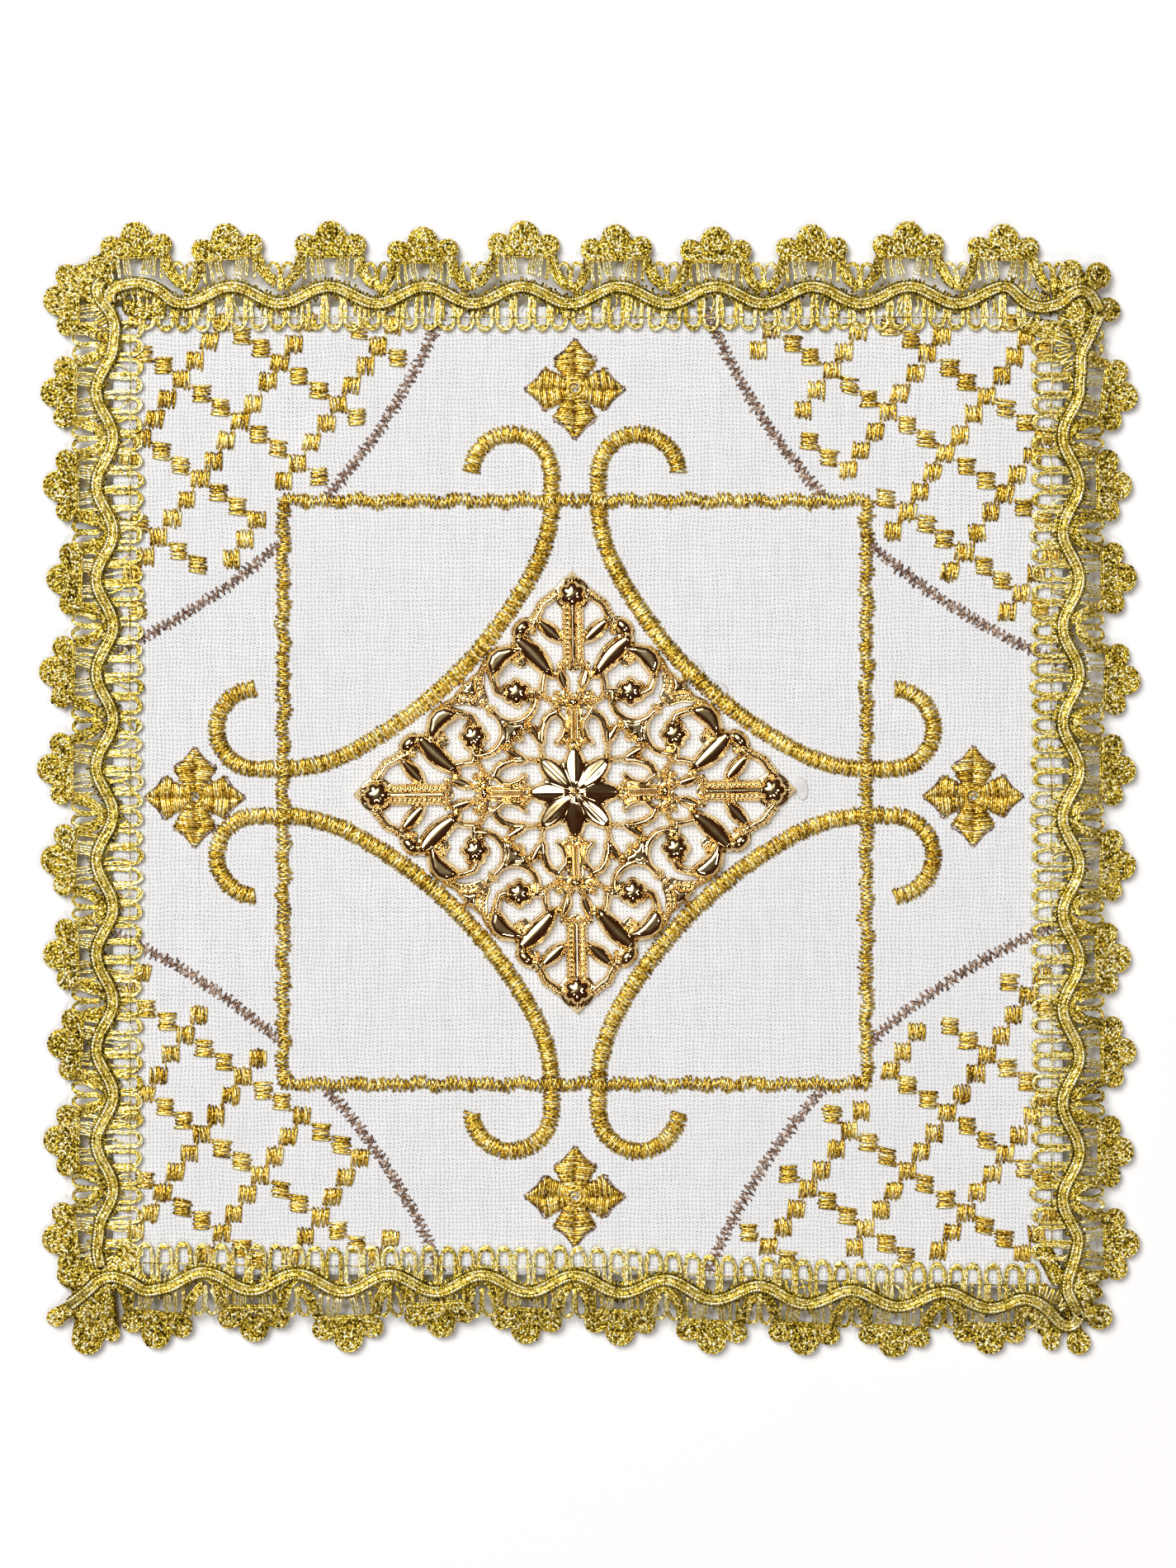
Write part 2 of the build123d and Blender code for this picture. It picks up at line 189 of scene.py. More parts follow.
def segment_gap(x, y, start, end):
    """How far each place is from a straight segment."""
    (ax, ay), (bx, by) = start, end
    dx, dy = bx - ax, by - ay
    t = np.clip(((x - ax) * dx + (y - ay) * dy) / (dx * dx + dy * dy), 0, 1)
    return np.hypot(x - ax - t * dx, y - ay - t * dy)


def merged(parts):
    """Several mesh parts as one."""
    points, quads, tris, tones, runs = zip(*parts)
    bases = np.cumsum([0] + [len(p) for p in points])
    quads = [q + base for q, base in zip(quads, bases)]
    tris = [t + base for t, base in zip(tris, bases)]
    return tuple(np.concatenate(lists) for lists in (points, quads, tris, tones, runs))


def grid_faces(number):
    """Quads between the neighbours in a grid of point numbers."""
    corners = [number[:-1, :-1], number[1:, :-1], number[1:, 1:], number[:-1, 1:]]
    return np.stack(corners, axis=-1).reshape(-1, 4)


def relief_shell(outline, height, corner_low, corner_high, step, bottom, tone=0.5):
    """A closed shell where outline(x, y) is below 0: its top at height(x, y, outline), its underside flat."""
    xs = np.arange(corner_low[0], corner_high[0] + step, step)
    ys = np.arange(corner_low[1], corner_high[1] + step, step)
    x, y = np.meshgrid(xs, ys, indexing="ij")
    away = outline(x, y)
    keep = away < 0.45 * step
    number = np.arange(x.size).reshape(x.shape)
    corners = grid_faces(number)
    held = keep.ravel()[corners]
    quads = corners[held.all(axis=1)]
    three = held.sum(axis=1) == 3
    missing = np.argmin(held[three], axis=1)
    cells = corners[three]
    rows = np.arange(len(cells))
    tris = np.stack([cells[rows, (missing + k) % 4] for k in (1, 2, 3)], axis=1)
    used, inverse = np.unique(np.concatenate([quads.ravel(), tris.ravel()]), return_inverse=True)
    quads = inverse[:quads.size].reshape(-1, 4)
    tris = inverse[quads.size:].reshape(-1, 3)
    px, py = x.ravel()[used], y.ravel()[used]
    starts = np.concatenate([quads.ravel(), tris.ravel()])
    finishes = np.concatenate([np.roll(quads, -1, axis=1).ravel(), np.roll(tris, -1, axis=1).ravel()])
    total = len(used)
    open_edge = ~np.isin(starts * total + finishes, finishes * total + starts)
    a, b = starts[open_edge], finishes[open_edge]
    rim = np.unique(np.concatenate([a, b]))
    reach = 0.02
    for _ in range(3):
        rx, ry = px[rim], py[rim]
        here = outline(rx, ry)
        gx = (outline(rx + reach, ry) - outline(rx - reach, ry)) / (2 * reach)
        gy = (outline(rx, ry + reach) - outline(rx, ry - reach)) / (2 * reach)
        steep = np.maximum(gx * gx + gy * gy, 0.25)
        move = np.clip(here, -0.5 * step, 0.5 * step)
        px[rim] -= move * gx / steep
        py[rim] -= move * gy / steep
    away = outline(px, py)
    away[rim] = 0
    pz = height(px, py, away)
    points = np.concatenate([np.stack([px, py, z], axis=1) for z in (pz, np.full(total, bottom))])
    walls = np.stack([a + total, b + total, b, a], axis=1)
    all_quads = np.concatenate([quads, quads[:, ::-1] + total, walls])
    all_tris = np.concatenate([tris, tris[:, ::-1] + total])
    return points, all_quads, all_tris, np.full(2 * total, tone), np.concatenate([px + py, px + py])


def turned(part, turn, shift=(0, 0, 0)):
    """A mesh part turned about Z by degrees and then moved."""
    x, y, z = part[0].T
    c, s = math.cos(math.radians(turn)), math.sin(math.radians(turn))
    return (np.stack([c * x - s * y, s * x + c * y, z], axis=1) + np.asarray(shift, float), *part[1:])


def piece(name, parts, material, node=None):
    """One mesh object made of those parts, riding on the cover and standing for that CAD node."""
    points, quads, tris, tones, runs = merged(parts)
    mesh = bpy.data.meshes.new(name)
    mesh.vertices.add(len(points))
    mesh.vertices.foreach_set("co", (points * MM).astype(np.float32).ravel())
    mesh.loops.add(quads.size + tris.size)
    mesh.loops.foreach_set("vertex_index", np.concatenate([quads.ravel(), tris.ravel()]).astype(np.int32))
    mesh.polygons.add(len(quads) + len(tris))
    starts = np.concatenate([np.arange(len(quads)) * 4, quads.size + np.arange(len(tris)) * 3])
    mesh.polygons.foreach_set("loop_start", starts.astype(np.int32))
    mesh.polygons.foreach_set("use_smooth", np.ones(len(starts), bool))
    mesh.update(calc_edges=True)
    for label, values in (("tone", tones), ("run", runs)):
        mesh.attributes.new(label, "FLOAT", "POINT").data.foreach_set("value", values.astype(np.float32))
    mesh.materials.append(material)
    obj = bpy.data.objects.new(name, mesh)
    bpy.context.scene.collection.objects.link(obj)
    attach(obj, "cover")
    if node:
        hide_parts(node)
    return obj


# ---------------------------------------------------------------- materials

def set_ramp(node, stops):
    """Sets a colour ramp: stops are (position, colour)."""
    elements = node.color_ramp.elements
    while len(elements) < len(stops):
        elements.new(0.5)
    for element, (position, colour) in zip(elements, stops):
        element.position = position
        element.color = (*colour, 1)


class Nodes:
    """A material and short ways to add nodes to it."""

    def __init__(self, name):
        self.material = bpy.data.materials.new(name)
        self.material.use_nodes = True
        self.tree = self.material.node_tree
        self.shader = self.tree.nodes["Principled BSDF"]
        self.place = self.add("ShaderNodeTexCoord").outputs["Object"]

    def add(self, kind, **settings):
        node = self.tree.nodes.new(kind)
        for key, value in settings.items():
            setattr(node, key, value)
        return node

    def link(self, start, end):
        self.tree.links.new(start, end)

    def attribute(self, label):
        return self.add("ShaderNodeAttribute", attribute_name=label).outputs["Fac"]

    def noise(self, size_mm, detail=2.0, roughness=0.5, place=None):
        """Noise with features of about that size."""
        node = self.add("ShaderNodeTexNoise")
        node.inputs["Scale"].default_value = 1 / (size_mm * MM)
        node.inputs["Detail"].default_value = detail
        node.inputs["Roughness"].default_value = roughness
        self.link(place or self.place, node.inputs["Vector"])
        return node.outputs["Fac"]

    def math(self, operation, *values):
        node = self.add("ShaderNodeMath", operation=operation)
        for socket, value in zip(node.inputs, values):
            if isinstance(value, (int, float)):
                socket.default_value = value
            else:
                self.link(value, socket)
        return node.outputs[0]

    def weighted(self, *terms):
        """The sum of values times their weights."""
        total = None
        for value, weight in terms:
            share = self.math("MULTIPLY", value, weight)
            total = share if total is None else self.math("ADD", total, share)
        return total

    def ramp(self, factor, stops):
        node = self.add("ShaderNodeValToRGB")
        set_ramp(node, stops)
        self.link(factor, node.inputs["Fac"])
        return node.outputs["Color"]

    def mix(self, factor, start, colour):
        """From a colour that a node gives to a plain colour."""
        node = self.add("ShaderNodeMix", data_type="RGBA")
        self.link(factor, node.inputs["Factor"])
        self.link(start, node.inputs[6])
        node.inputs[7].default_value = (*colour, 1)
        return node.outputs[2]

    def span(self, value, low_in, high_in, low_out, high_out):
        node = self.add("ShaderNodeMapRange")
        self.link(value, node.inputs[0])
        for socket, number in zip(node.inputs[1:5], (low_in, high_in, low_out, high_out)):
            socket.default_value = number
        return node.outputs[0]

    def bump(self, height, strength, distance_mm):
        node = self.add("ShaderNodeBump")
        node.inputs["Strength"].default_value = strength
        node.inputs["Distance"].default_value = distance_mm * MM
        self.link(height, node.inputs["Height"])
        self.link(node.outputs["Normal"], self.shader.inputs["Normal"])

    def set(self, **values):
        for key, value in values.items():
            socket = self.shader.inputs[key.replace("_", " ")]
            if hasattr(value, "node"):
                self.link(value, socket)
            else:
                socket.default_value = value


def metal_thread(name, shades, roughness, metallic=0.85):
    """Thread wound with metal foil: each stitch has its own tone, and glints painted into its colour, pale
    highlights and dark specks, run along it, with faint painted light and shade at the foil's turns.
    """
    m = Nodes(name)
    foil_turn_mm, glint_mm = 0.8, 0.42
    # The grain and the specks make the foil's glints: in the colour they are painted highlights and painted
    # dark specks, and the turns add a faint painted light and shade
    grain = m.noise(glint_mm, detail=1.5, roughness=0.6)
    turns = m.math("SINE", m.math("MULTIPLY", m.attribute("run"), 2 * math.pi / foil_turn_mm))
    broad = m.noise(9.0, detail=1.0)
    painted_specks = m.noise(glint_mm * 0.62, detail=1.0)
    tone = m.attribute("tone")
    mixed = m.weighted((grain, 0.95), (tone, 0.36), (turns, 0.06), (broad, 0.16), (painted_specks, 0.55))
    colour = m.ramp(m.span(mixed, 0.74, 1.32, 0.0, 1.0), list(zip((0.0, 0.3, 0.6, 0.92), shades)))
    gloss = m.span(grain, 0.3, 0.7, roughness + 0.14, roughness - 0.06)
    m.set(Base_Color=colour, Metallic=metallic, Roughness=gloss)
    m.bump(m.weighted((turns, 0.35), (grain, 1.0)), 0.5, 0.06)
    return m.material


def linen_material(name, light, shade):
    """Plain-woven linen: uneven warp and weft that cross over and under, with slubs, painted highlights on
    the threads' crowns and on the uppermost threads, and painted shade in the small gaps between them.
    """
    m = Nodes(name)
    pitch, wobble = 0.62 * MM, 1.1 * MM
    shifted = m.add("ShaderNodeVectorMath", operation="MULTIPLY_ADD")
    m.link(m.noise(5.0, detail=3.0).node.outputs["Color"], shifted.inputs[0])
    shifted.inputs[1].default_value = (wobble, wobble, 0)
    m.link(m.place, shifted.inputs[2])
    split = m.add("ShaderNodeSeparateXYZ")
    m.link(shifted.outputs[0], split.inputs[0])
    angle_x = m.math("MULTIPLY", split.outputs[0], math.pi / pitch)
    angle_y = m.math("MULTIPLY", split.outputs[1], math.pi / (pitch * 1.08))
    over = m.math("MULTIPLY", m.math("COSINE", angle_x), m.math("COSINE", angle_y))
    over = m.span(over, -0.5, 0.5, 0.0, 1.0)
    under = m.math("SUBTRACT", 1.0, over)
    # Each thread is lighter at its crown and darker towards the gaps, and lighter where it lies uppermost:
    # painted highlight and painted shade of the weave
    threads = []
    for angle, uppermost, least in ((angle_x, over, 0.55), (angle_y, under, 0.5)):
        crown = m.math("POWER", m.math("ABSOLUTE", m.math("SINE", angle)), 0.6)
        threads.append(m.math("MULTIPLY", crown, m.math("MULTIPLY_ADD", uppermost, 0.45, least)))
    cloth = m.math("MAXIMUM", *threads)
    slubs = []
    for stretch in ((1.0, 0.12, 1.0), (0.12, 1.0, 1.0)):
        mapping = m.add("ShaderNodeMapping")
        mapping.inputs["Scale"].default_value = stretch
        m.link(m.place, mapping.inputs["Vector"])
        slubs.append(m.noise(0.7, place=mapping.outputs[0]))
    fibre = m.noise(0.35)
    level = m.weighted((cloth, 0.74), (slubs[0], 0.16), (slubs[1], 0.1), (fibre, 0.2))
    # The ramp runs from painted shade in the gaps to a painted highlight on the crowns
    painted_highlight = tuple(min(1.0, c * 1.22) for c in light)
    colour = m.ramp(m.span(level, 0.45, 0.95, 0.0, 1.0), [(0.0, shade), (0.5, light), (1.0, painted_highlight)])
    colour = m.mix(m.span(m.noise(22.0), 0.3, 0.7, 0.0, 0.18), colour, tuple(c * 0.93 for c in light))
    m.set(Base_Color=colour, Roughness=m.span(fibre, 0.3, 0.7, 0.72, 0.88))
    m.set(Sheen_Weight=0.15, Sheen_Roughness=0.5)
    m.bump(level, 0.55, 0.12)
    return m.material


# Each thread's shades run from painted shade in the gaps between its stitches to painted highlights for its
# brightest glints
embroidery_gold = metal_thread(
    "embroidery_gold", [(0.13, 0.06, 0.006), (0.58, 0.345, 0.02), (0.92, 0.665, 0.11), (1.0, 0.93, 0.55)],
    0.36)
lace_gold = metal_thread(
    "lace_gold", [(0.035, 0.022, 0.003), (0.50, 0.34, 0.014), (0.91, 0.71, 0.12), (1.0, 0.97, 0.68)], 0.34)
gimp_gold = metal_thread(
    "gimp_gold", [(0.03, 0.02, 0.003), (0.40, 0.28, 0.014), (0.78, 0.59, 0.08), (1.0, 0.95, 0.62)], 0.32)
bronze_thread = metal_thread(
    "bronze_thread", [(0.06, 0.025, 0.014), (0.17, 0.085, 0.05), (0.36, 0.215, 0.14), (0.78, 0.60, 0.46)],
    0.45, metallic=0.4)
seam_thread = metal_thread(
    "seam_thread", [(0.45, 0.45, 0.44), (0.62, 0.62, 0.6), (0.74, 0.74, 0.72), (0.82, 0.82, 0.8)],
    0.6, metallic=0.0)
linen_cloth = linen_material("linen_cloth", (0.76, 0.765, 0.77), (0.36, 0.365, 0.37))


def gilt_material():
    """Mirror-bright gilt sheet, whose tone and polish vary a little from place to place."""
    m = Nodes("gilt_filigree")
    wear = m.noise(1.6, detail=3.0)
    colour = m.ramp(wear, [(0.3, (0.78, 0.54, 0.24)), (0.55, (0.88, 0.69, 0.37)), (0.8, (0.95, 0.81, 0.51))])
    m.set(Base_Color=colour, Metallic=1.0, Roughness=m.span(wear, 0.3, 0.7, 0.06, 0.11))
    m.bump(m.noise(1.0), 0.1, 0.05)
    return m.material


def board_material():
    """Grey board with a faint fibre grain."""
    m = Nodes("stiffener_board")
    fibre = m.noise(0.5, detail=4.0)
    fleck = m.noise(2.5, detail=3.0)
    colour = m.ramp(m.weighted((fibre, 0.5), (fleck, 0.5)),
                    [(0.35, (0.46, 0.43, 0.38)), (0.5, (0.60, 0.57, 0.51)), (0.65, (0.70, 0.67, 0.61))])
    m.set(Base_Color=colour, Roughness=m.span(fibre, 0.3, 0.7, 0.75, 0.9))
    m.bump(fibre, 0.4, 0.08)
    return m.material


def glue_material():
    """Dried clear glue on the cloth."""
    m = Nodes("glue")
    film = m.noise(1.2)
    colour = m.ramp(film, [(0.35, (0.66, 0.66, 0.64)), (0.65, (0.74, 0.74, 0.73))])
    m.set(Base_Color=colour, Roughness=m.span(film, 0.3, 0.7, 0.22, 0.4))
    m.bump(film, 0.35, 0.1)
    return m.material


gilt_filigree = gilt_material()
board_card = board_material()
glue_film = glue_material()


# ---------------------------------------------------------------- linen pocket

def ripple(x, y, size, seed):
    """A smooth seeded waviness, about -1 to 1."""
    waves = np.random.default_rng(seed)
    total = np.zeros_like(x, dtype=float)
    for _ in range(7):
        angle = waves.uniform(0, 2 * math.pi)
        length = size * waves.uniform(0.6, 1.7)
        phase = waves.uniform(0, 2 * math.pi)
        total += np.sin(2 * math.pi * (x * math.cos(angle) + y * math.sin(angle)) / length + phase)
    return total / 3.5


def linen_sheet(name, node, seed):
    """A sheet of linen that fills its CAD slab, with rounded edges, a slight waviness and the south's sag."""
    lower, upper = low(node), high(node)
    cells = 156
    edge_drop, edge_width, wave_length, flat_border = 0.16, 0.9, 26.0, 3
    xs = np.linspace(lower[0], upper[0], cells + 1)
    ys = np.linspace(lower[1], upper[1], cells + 1)
    x, y = np.meshgrid(xs, ys, indexing="ij")
    edge = np.minimum(np.minimum(x - lower[0], upper[0] - x), np.minimum(y - lower[1], upper[1] - y))
    rounding = edge_drop * (1 - np.clip(edge / edge_width, 0, 1)) ** 2
    wave = linen_wave * ripple(x, y, wave_length, seed) - linen_wave
    top = upper[2] + np.minimum(wave, 0) * np.clip(edge / flat_border, 0, 1) - rounding
    bottom = lower[2] + rounding
    sag = np.clip(np.interp(x, *south_sag), 0, None)
    y = y - linen_sag_share * sag * np.clip((y + sag_begins) / (lower[1] + sag_begins), 0, 1) ** 2
    number = np.arange(x.size).reshape(x.shape)
    quads = grid_faces(number)
    loop = np.concatenate([number[:, 0], number[-1, 1:], number[-2::-1, -1], number[0, -2:0:-1]])
    after = np.roll(loop, -1)
    total = x.size
    walls = np.stack([loop + total, after + total, after, loop], axis=1)
    points = np.concatenate([np.stack([x, y, z], axis=-1).reshape(-1, 3) for z in (top, bottom)])
    part = (points, np.concatenate([quads, quads[:, ::-1] + total, walls]), np.zeros((0, 3), int),
            np.full(2 * total, 0.5), np.zeros(2 * total))
    obj = piece(name, [part], linen_cloth, node)


linen_sheet("face_linen", "linen_face", 3)
linen_sheet("back_linen", "linen_back", 4)


def ribbon(path, width, thickness, seed):
    """A flat folded ply of cloth along a path, with rounded edges."""
    path = np.asarray(path, float)
    along = np.gradient(path, axis=0)
    along /= np.linalg.norm(along, axis=1, keepdims=True)
    side = np.cross(UP, along)
    sides = 12
    turns = np.arange(sides) * 2 * math.pi / sides
    across = np.sign(np.cos(turns)) * np.abs(np.cos(turns)) ** 0.35 * width / 2
    lift = np.sign(np.sin(turns)) * np.abs(np.sin(turns)) ** 0.7 * thickness / 2
    sway = 0.05 * np.sin(np.arange(len(path)) * 0.9 + seed)
    skin = path[:, None, :] + (across[None, :, None] + sway[:, None, None]) * side[:, None, :]
    skin = skin + lift[None, :, None] * UP
    points = np.concatenate([skin.reshape(-1, 3), path[:1], path[-1:]])
    quads, caps = tube_faces(len(path), sides)
    return points, quads, caps, np.full(len(points), 0.5), np.zeros(len(points))


def hem(side):
    """The turned-in edge of the linen: three plies folded over one another."""
    node = "hem_fold_" + side
    lower, upper = low(node), high(node)
    along = 0 if side == "north" else 1
    plies, stations = 3, 120
    thickness = (upper[2] - lower[2]) / plies
    width = upper[1 - along] - lower[1 - along] - 0.12
    parts = []
    for i in range(plies):
        path = np.tile((lower + upper) / 2, (stations, 1))
        path[:, along] = np.linspace(lower[along] + 0.1, upper[along] - 0.1, stations)
        path[:, 2] = lower[2] + (i + 0.5) * thickness
        parts.append(ribbon(path, width, thickness * 0.98, i * 2.1))
    piece("folded_hem_" + side, parts, linen_cloth, node)


for hem_side in ("west", "east", "north"):
    hem(hem_side)


def seam():
    """Overcast stitches that close three sides of the pocket, each wrapping the edge from face to back."""
    pitch, lean = 4.0, 0.9
    out_x, out_y = linen_high[0] + 0.12, linen_high[1] + 0.12
    shape = [(-1.1, -0.7, face_top + 0.02), (-0.35, -0.5, face_top + 0.1), (0, -0.35, face_top - 0.25),
             (0.05, 0, face_top / 2), (0, 0.35, 0.45), (-0.3, 0.5, 0.2)]
    places = {
        "west": lambda slide, outward: (-out_x - outward, slide),
        "east": lambda slide, outward: (out_x + outward, slide),
        "north": lambda slide, outward: (slide, out_y + outward),
    }
    paths = []
    for side, count in (("west", 37), ("east", 37), ("north", 36)):
        for i in range(count):
            along = (i - (count - 1) / 2) * pitch + rng.normal(0, 0.12)
            paths.append([(*places[side](along + shift * lean, outward), z) for outward, shift, z in shape])
    parts = [tubes(paths, 0.17, sides=6)]
    piece("pocket_seam_stitches", parts, seam_thread, "pocket_seam_thread")


seam()
board = frame["nodes"]["stiffener_board"]
board.data.materials.clear()
board.data.materials.append(board_card)


# ---------------------------------------------------------------- embroidery

def arc_points(centre, radius, start, turn):
    """Points along an arc, by its angles in degrees."""
    spacing = 0.25
    count = max(3, int(abs(math.radians(turn)) * radius / spacing))
    angles = np.radians(np.linspace(start, start + turn, count))
    return np.stack([centre[0] + radius * np.cos(angles), centre[1] + radius * np.sin(angles)], axis=1)


def even(path, spacing, closed=False):
    """The same path with points that far apart, and the direction and distance at each."""
    path = np.asarray(path, float)
    if closed:
        path = np.concatenate([path, path[:1]])
    gaps = np.linalg.norm(np.diff(path, axis=0), axis=1)
    distance = np.concatenate([[0], np.cumsum(gaps)])
    count = max(2, int(round(distance[-1] / spacing)))
    wanted = np.linspace(0, distance[-1], count + 1)
    points = np.stack([np.interp(wanted, distance, path[:, i]) for i in range(path.shape[1])], axis=1)
    along = np.gradient(points, axis=0)
    along /= np.linalg.norm(along, axis=1, keepdims=True) + 1e-9
    return points, along, wanted


def stitches(starts, finishes, rise, radius, base=None):
    """Arched stitches from start points to finish points on the linen."""
    starts, finishes = np.asarray(starts, float), np.asarray(finishes, float)
    base = face_top if base is None else base
    count = len(starts)
    places = np.array([0.0, 0.16, 0.5, 0.84, 1.0])
    arch = np.array([0.0, 0.72, 1.0, 0.72, 0.0])
    flat = starts[:, None, :] + (finishes - starts)[:, None, :] * places[None, :, None]
    lift = np.broadcast_to(np.asarray(rise, float), (count,))[:, None] * arch[None, :] + radius * 0.25
    # Each stitch's tone is lowered at its tips, where it dives into the cloth, and raised at its crown:
    # painted shade and painted highlight
    tone = rng.random(count)[:, None] + painted_tip_shade * (arch - 0.72)[None, :]
    return tubes(lifted_to(flat, base + lift), radius, tone=tone)


def satin(path, half, pitch, rise, radius, ragged, lean=0.5):
    """Satin stitching across a path: slanting threads side by side, with ragged ends."""
    points, along, _ = even(path, pitch)
    across = leftward(along)
    count = len(points)
    left = half * (1 + rng.normal(0, ragged, count)) + rng.normal(0, 0.05, count)
    right = half * (1 + rng.normal(0, ragged, count)) + rng.normal(0, 0.05, count)
    swing = pitch * lean * np.where(np.arange(count) % 2, 1.0, -1.0) + rng.normal(0, pitch * 0.22, count)
    starts = points + across * left[:, None] - along * swing[:, None]
    finishes = points - across * right[:, None] + along * swing[:, None]
    height = rise * (0.88 + 0.2 * rng.random(count))
    return stitches(starts, finishes, height, radius)


def scroll_path():
    """Middle line of the north-west scroll, from one hook's end to the other's."""
    turn = math.radians(scroll_tight_turn)
    shift = scroll_wide_radius - scroll_tight_radius
    wide = (-scroll_wide_centre, scroll_wide_centre)
    tight = (wide[0] + shift * math.cos(turn), wide[1] - shift * math.sin(turn))
    neck_x = tight[0] + scroll_tight_radius
    hook = (neck_x - scroll_hook_radius, tight[1] + scroll_straight)
    half = np.concatenate([
        arc_points(hook, scroll_hook_radius, 176, -176),
        [(neck_x, tight[1] + scroll_straight / 2)],
        arc_points(tight, scroll_tight_radius, 0, -scroll_tight_turn),
        arc_points(wide, scroll_wide_radius, -scroll_tight_turn, scroll_tight_turn - 45),
    ])
    return np.concatenate([half, -half[-2::-1, ::-1]])


scroll = scroll_path()
scrolls = {
    corner: scroll * np.array([-sx, sy]) + embroidery_centre
    for corner, (sx, sy) in corner_signs.items()
}
all_scroll_points = np.concatenate([even(path, 0.5)[0] for path in scrolls.values()])


def near_scroll(points, reach):
    """Which of these points lie that close to a scroll line."""
    x, y = all_scroll_points.T
    return np.hypot(points[:, :1] - x, points[:, 1:] - y).min(axis=1) < reach


for corner, path in scrolls.items():
    parts = [
        satin(path, scroll_width / 2 - 0.08, pitch=0.32, rise=0.48, radius=0.18, lean=0.45, ragged=0.075),
        satin(path, scroll_width / 2 - 0.3, pitch=0.62, rise=0.22, radius=0.26, ragged=0.05),
    ]
    piece("scroll_stitching_" + corner, parts, embroidery_gold, "scroll_line_" + corner)


def square_frame():
    """The lumpy satin line of the square, which passes over the scrolls."""
    side = frame_half_side
    over_scroll = face_top + 0.42
    parts = []
    corners = [(-side, side), (side, side), (side, -side), (-side, -side)]
    for i in range(4):
        ends = np.array([corners[i], corners[(i + 1) % 4]]) + embroidery_centre
        points, along, distance = even(ends, 0.36)
        count = len(points)
        across = leftward(along)
        drift = 0.22 * np.sin(distance / 5.3 * 2 * math.pi + i)
        drift += 0.12 * np.sin(distance / 8.9 * 2 * math.pi + 2 * i)
        swell = 0.93 + 0.17 * np.sin(distance / 2.9 * 2 * math.pi + i * 1.7) + rng.normal(0, 0.09, count)
        clear = ~near_scroll(points, scroll_width / 2 + 0.15)
        points = points + across * drift[:, None]
        swing = np.where(np.arange(count) % 2, 0.22, -0.22) + rng.normal(0, 0.1, count)
        starts = points + across * swell[:, None] - along * swing[:, None]
        finishes = points - across * swell[:, None] + along * swing[:, None]
        rise = 0.42 * (0.85 + 0.3 * rng.random(count))
        parts.append(stitches(starts[clear], finishes[clear], rise[clear], 0.2))
        parts.append(stitches(starts[~clear], finishes[~clear], 0.3, 0.18, base=over_scroll))
        extra = rng.choice(np.flatnonzero(clear), count // 3, replace=False)
        each = (len(extra), 1)
        middle = points[extra] + across[extra] * rng.normal(0, 0.3, each)
        slant = across[extra] * rng.normal(0.5, 0.2, each) + along[extra] * rng.normal(0, 0.45, each)
        parts.append(stitches(middle - slant, middle + slant, 0.47, 0.17))
    piece("square_stitching", parts, embroidery_gold, "satin_square_frame")


square_frame()


def bronze_arc(corner):
    """A sparse zigzag of bronze thread along the arc in that corner, in the stretches beyond the square."""
    sign = np.array(corner_signs[corner])
    circle = arc_points((-bronze_circle_centre, bronze_circle_centre), bronze_circle_radius, -88, 86)
    inside = frame_half_side + 0.7
    edge_x = linen_high[0] - embroidery_centre[0] * sign[0] - 0.6
    edge_y = linen_high[1] - embroidery_centre[1] * sign[1] - 0.6
    beyond = np.abs(circle).max(axis=1) > inside
    on_linen = (-circle[:, 0] < edge_x) & (circle[:, 1] < edge_y)
    parts = []
    for stretch in (circle[:, 1] < -circle[:, 0], circle[:, 1] > -circle[:, 0]):
        path = circle[beyond & on_linen & stretch] * np.array([-sign[0], sign[1]]) + embroidery_centre
        half = bronze_width / 2
        parts.append(satin(path, half, pitch=0.46, rise=0.2, radius=0.13, lean=0.75, ragged=0.2))
        parts.append(satin(path, half - 0.25, pitch=0.8, rise=0.12, radius=0.13, lean=-0.6, ragged=0.2))
    piece("bronze_stitching_" + corner, parts, bronze_thread, "bronze_arc_" + corner)


for corner in corner_signs:
    bronze_arc(corner)


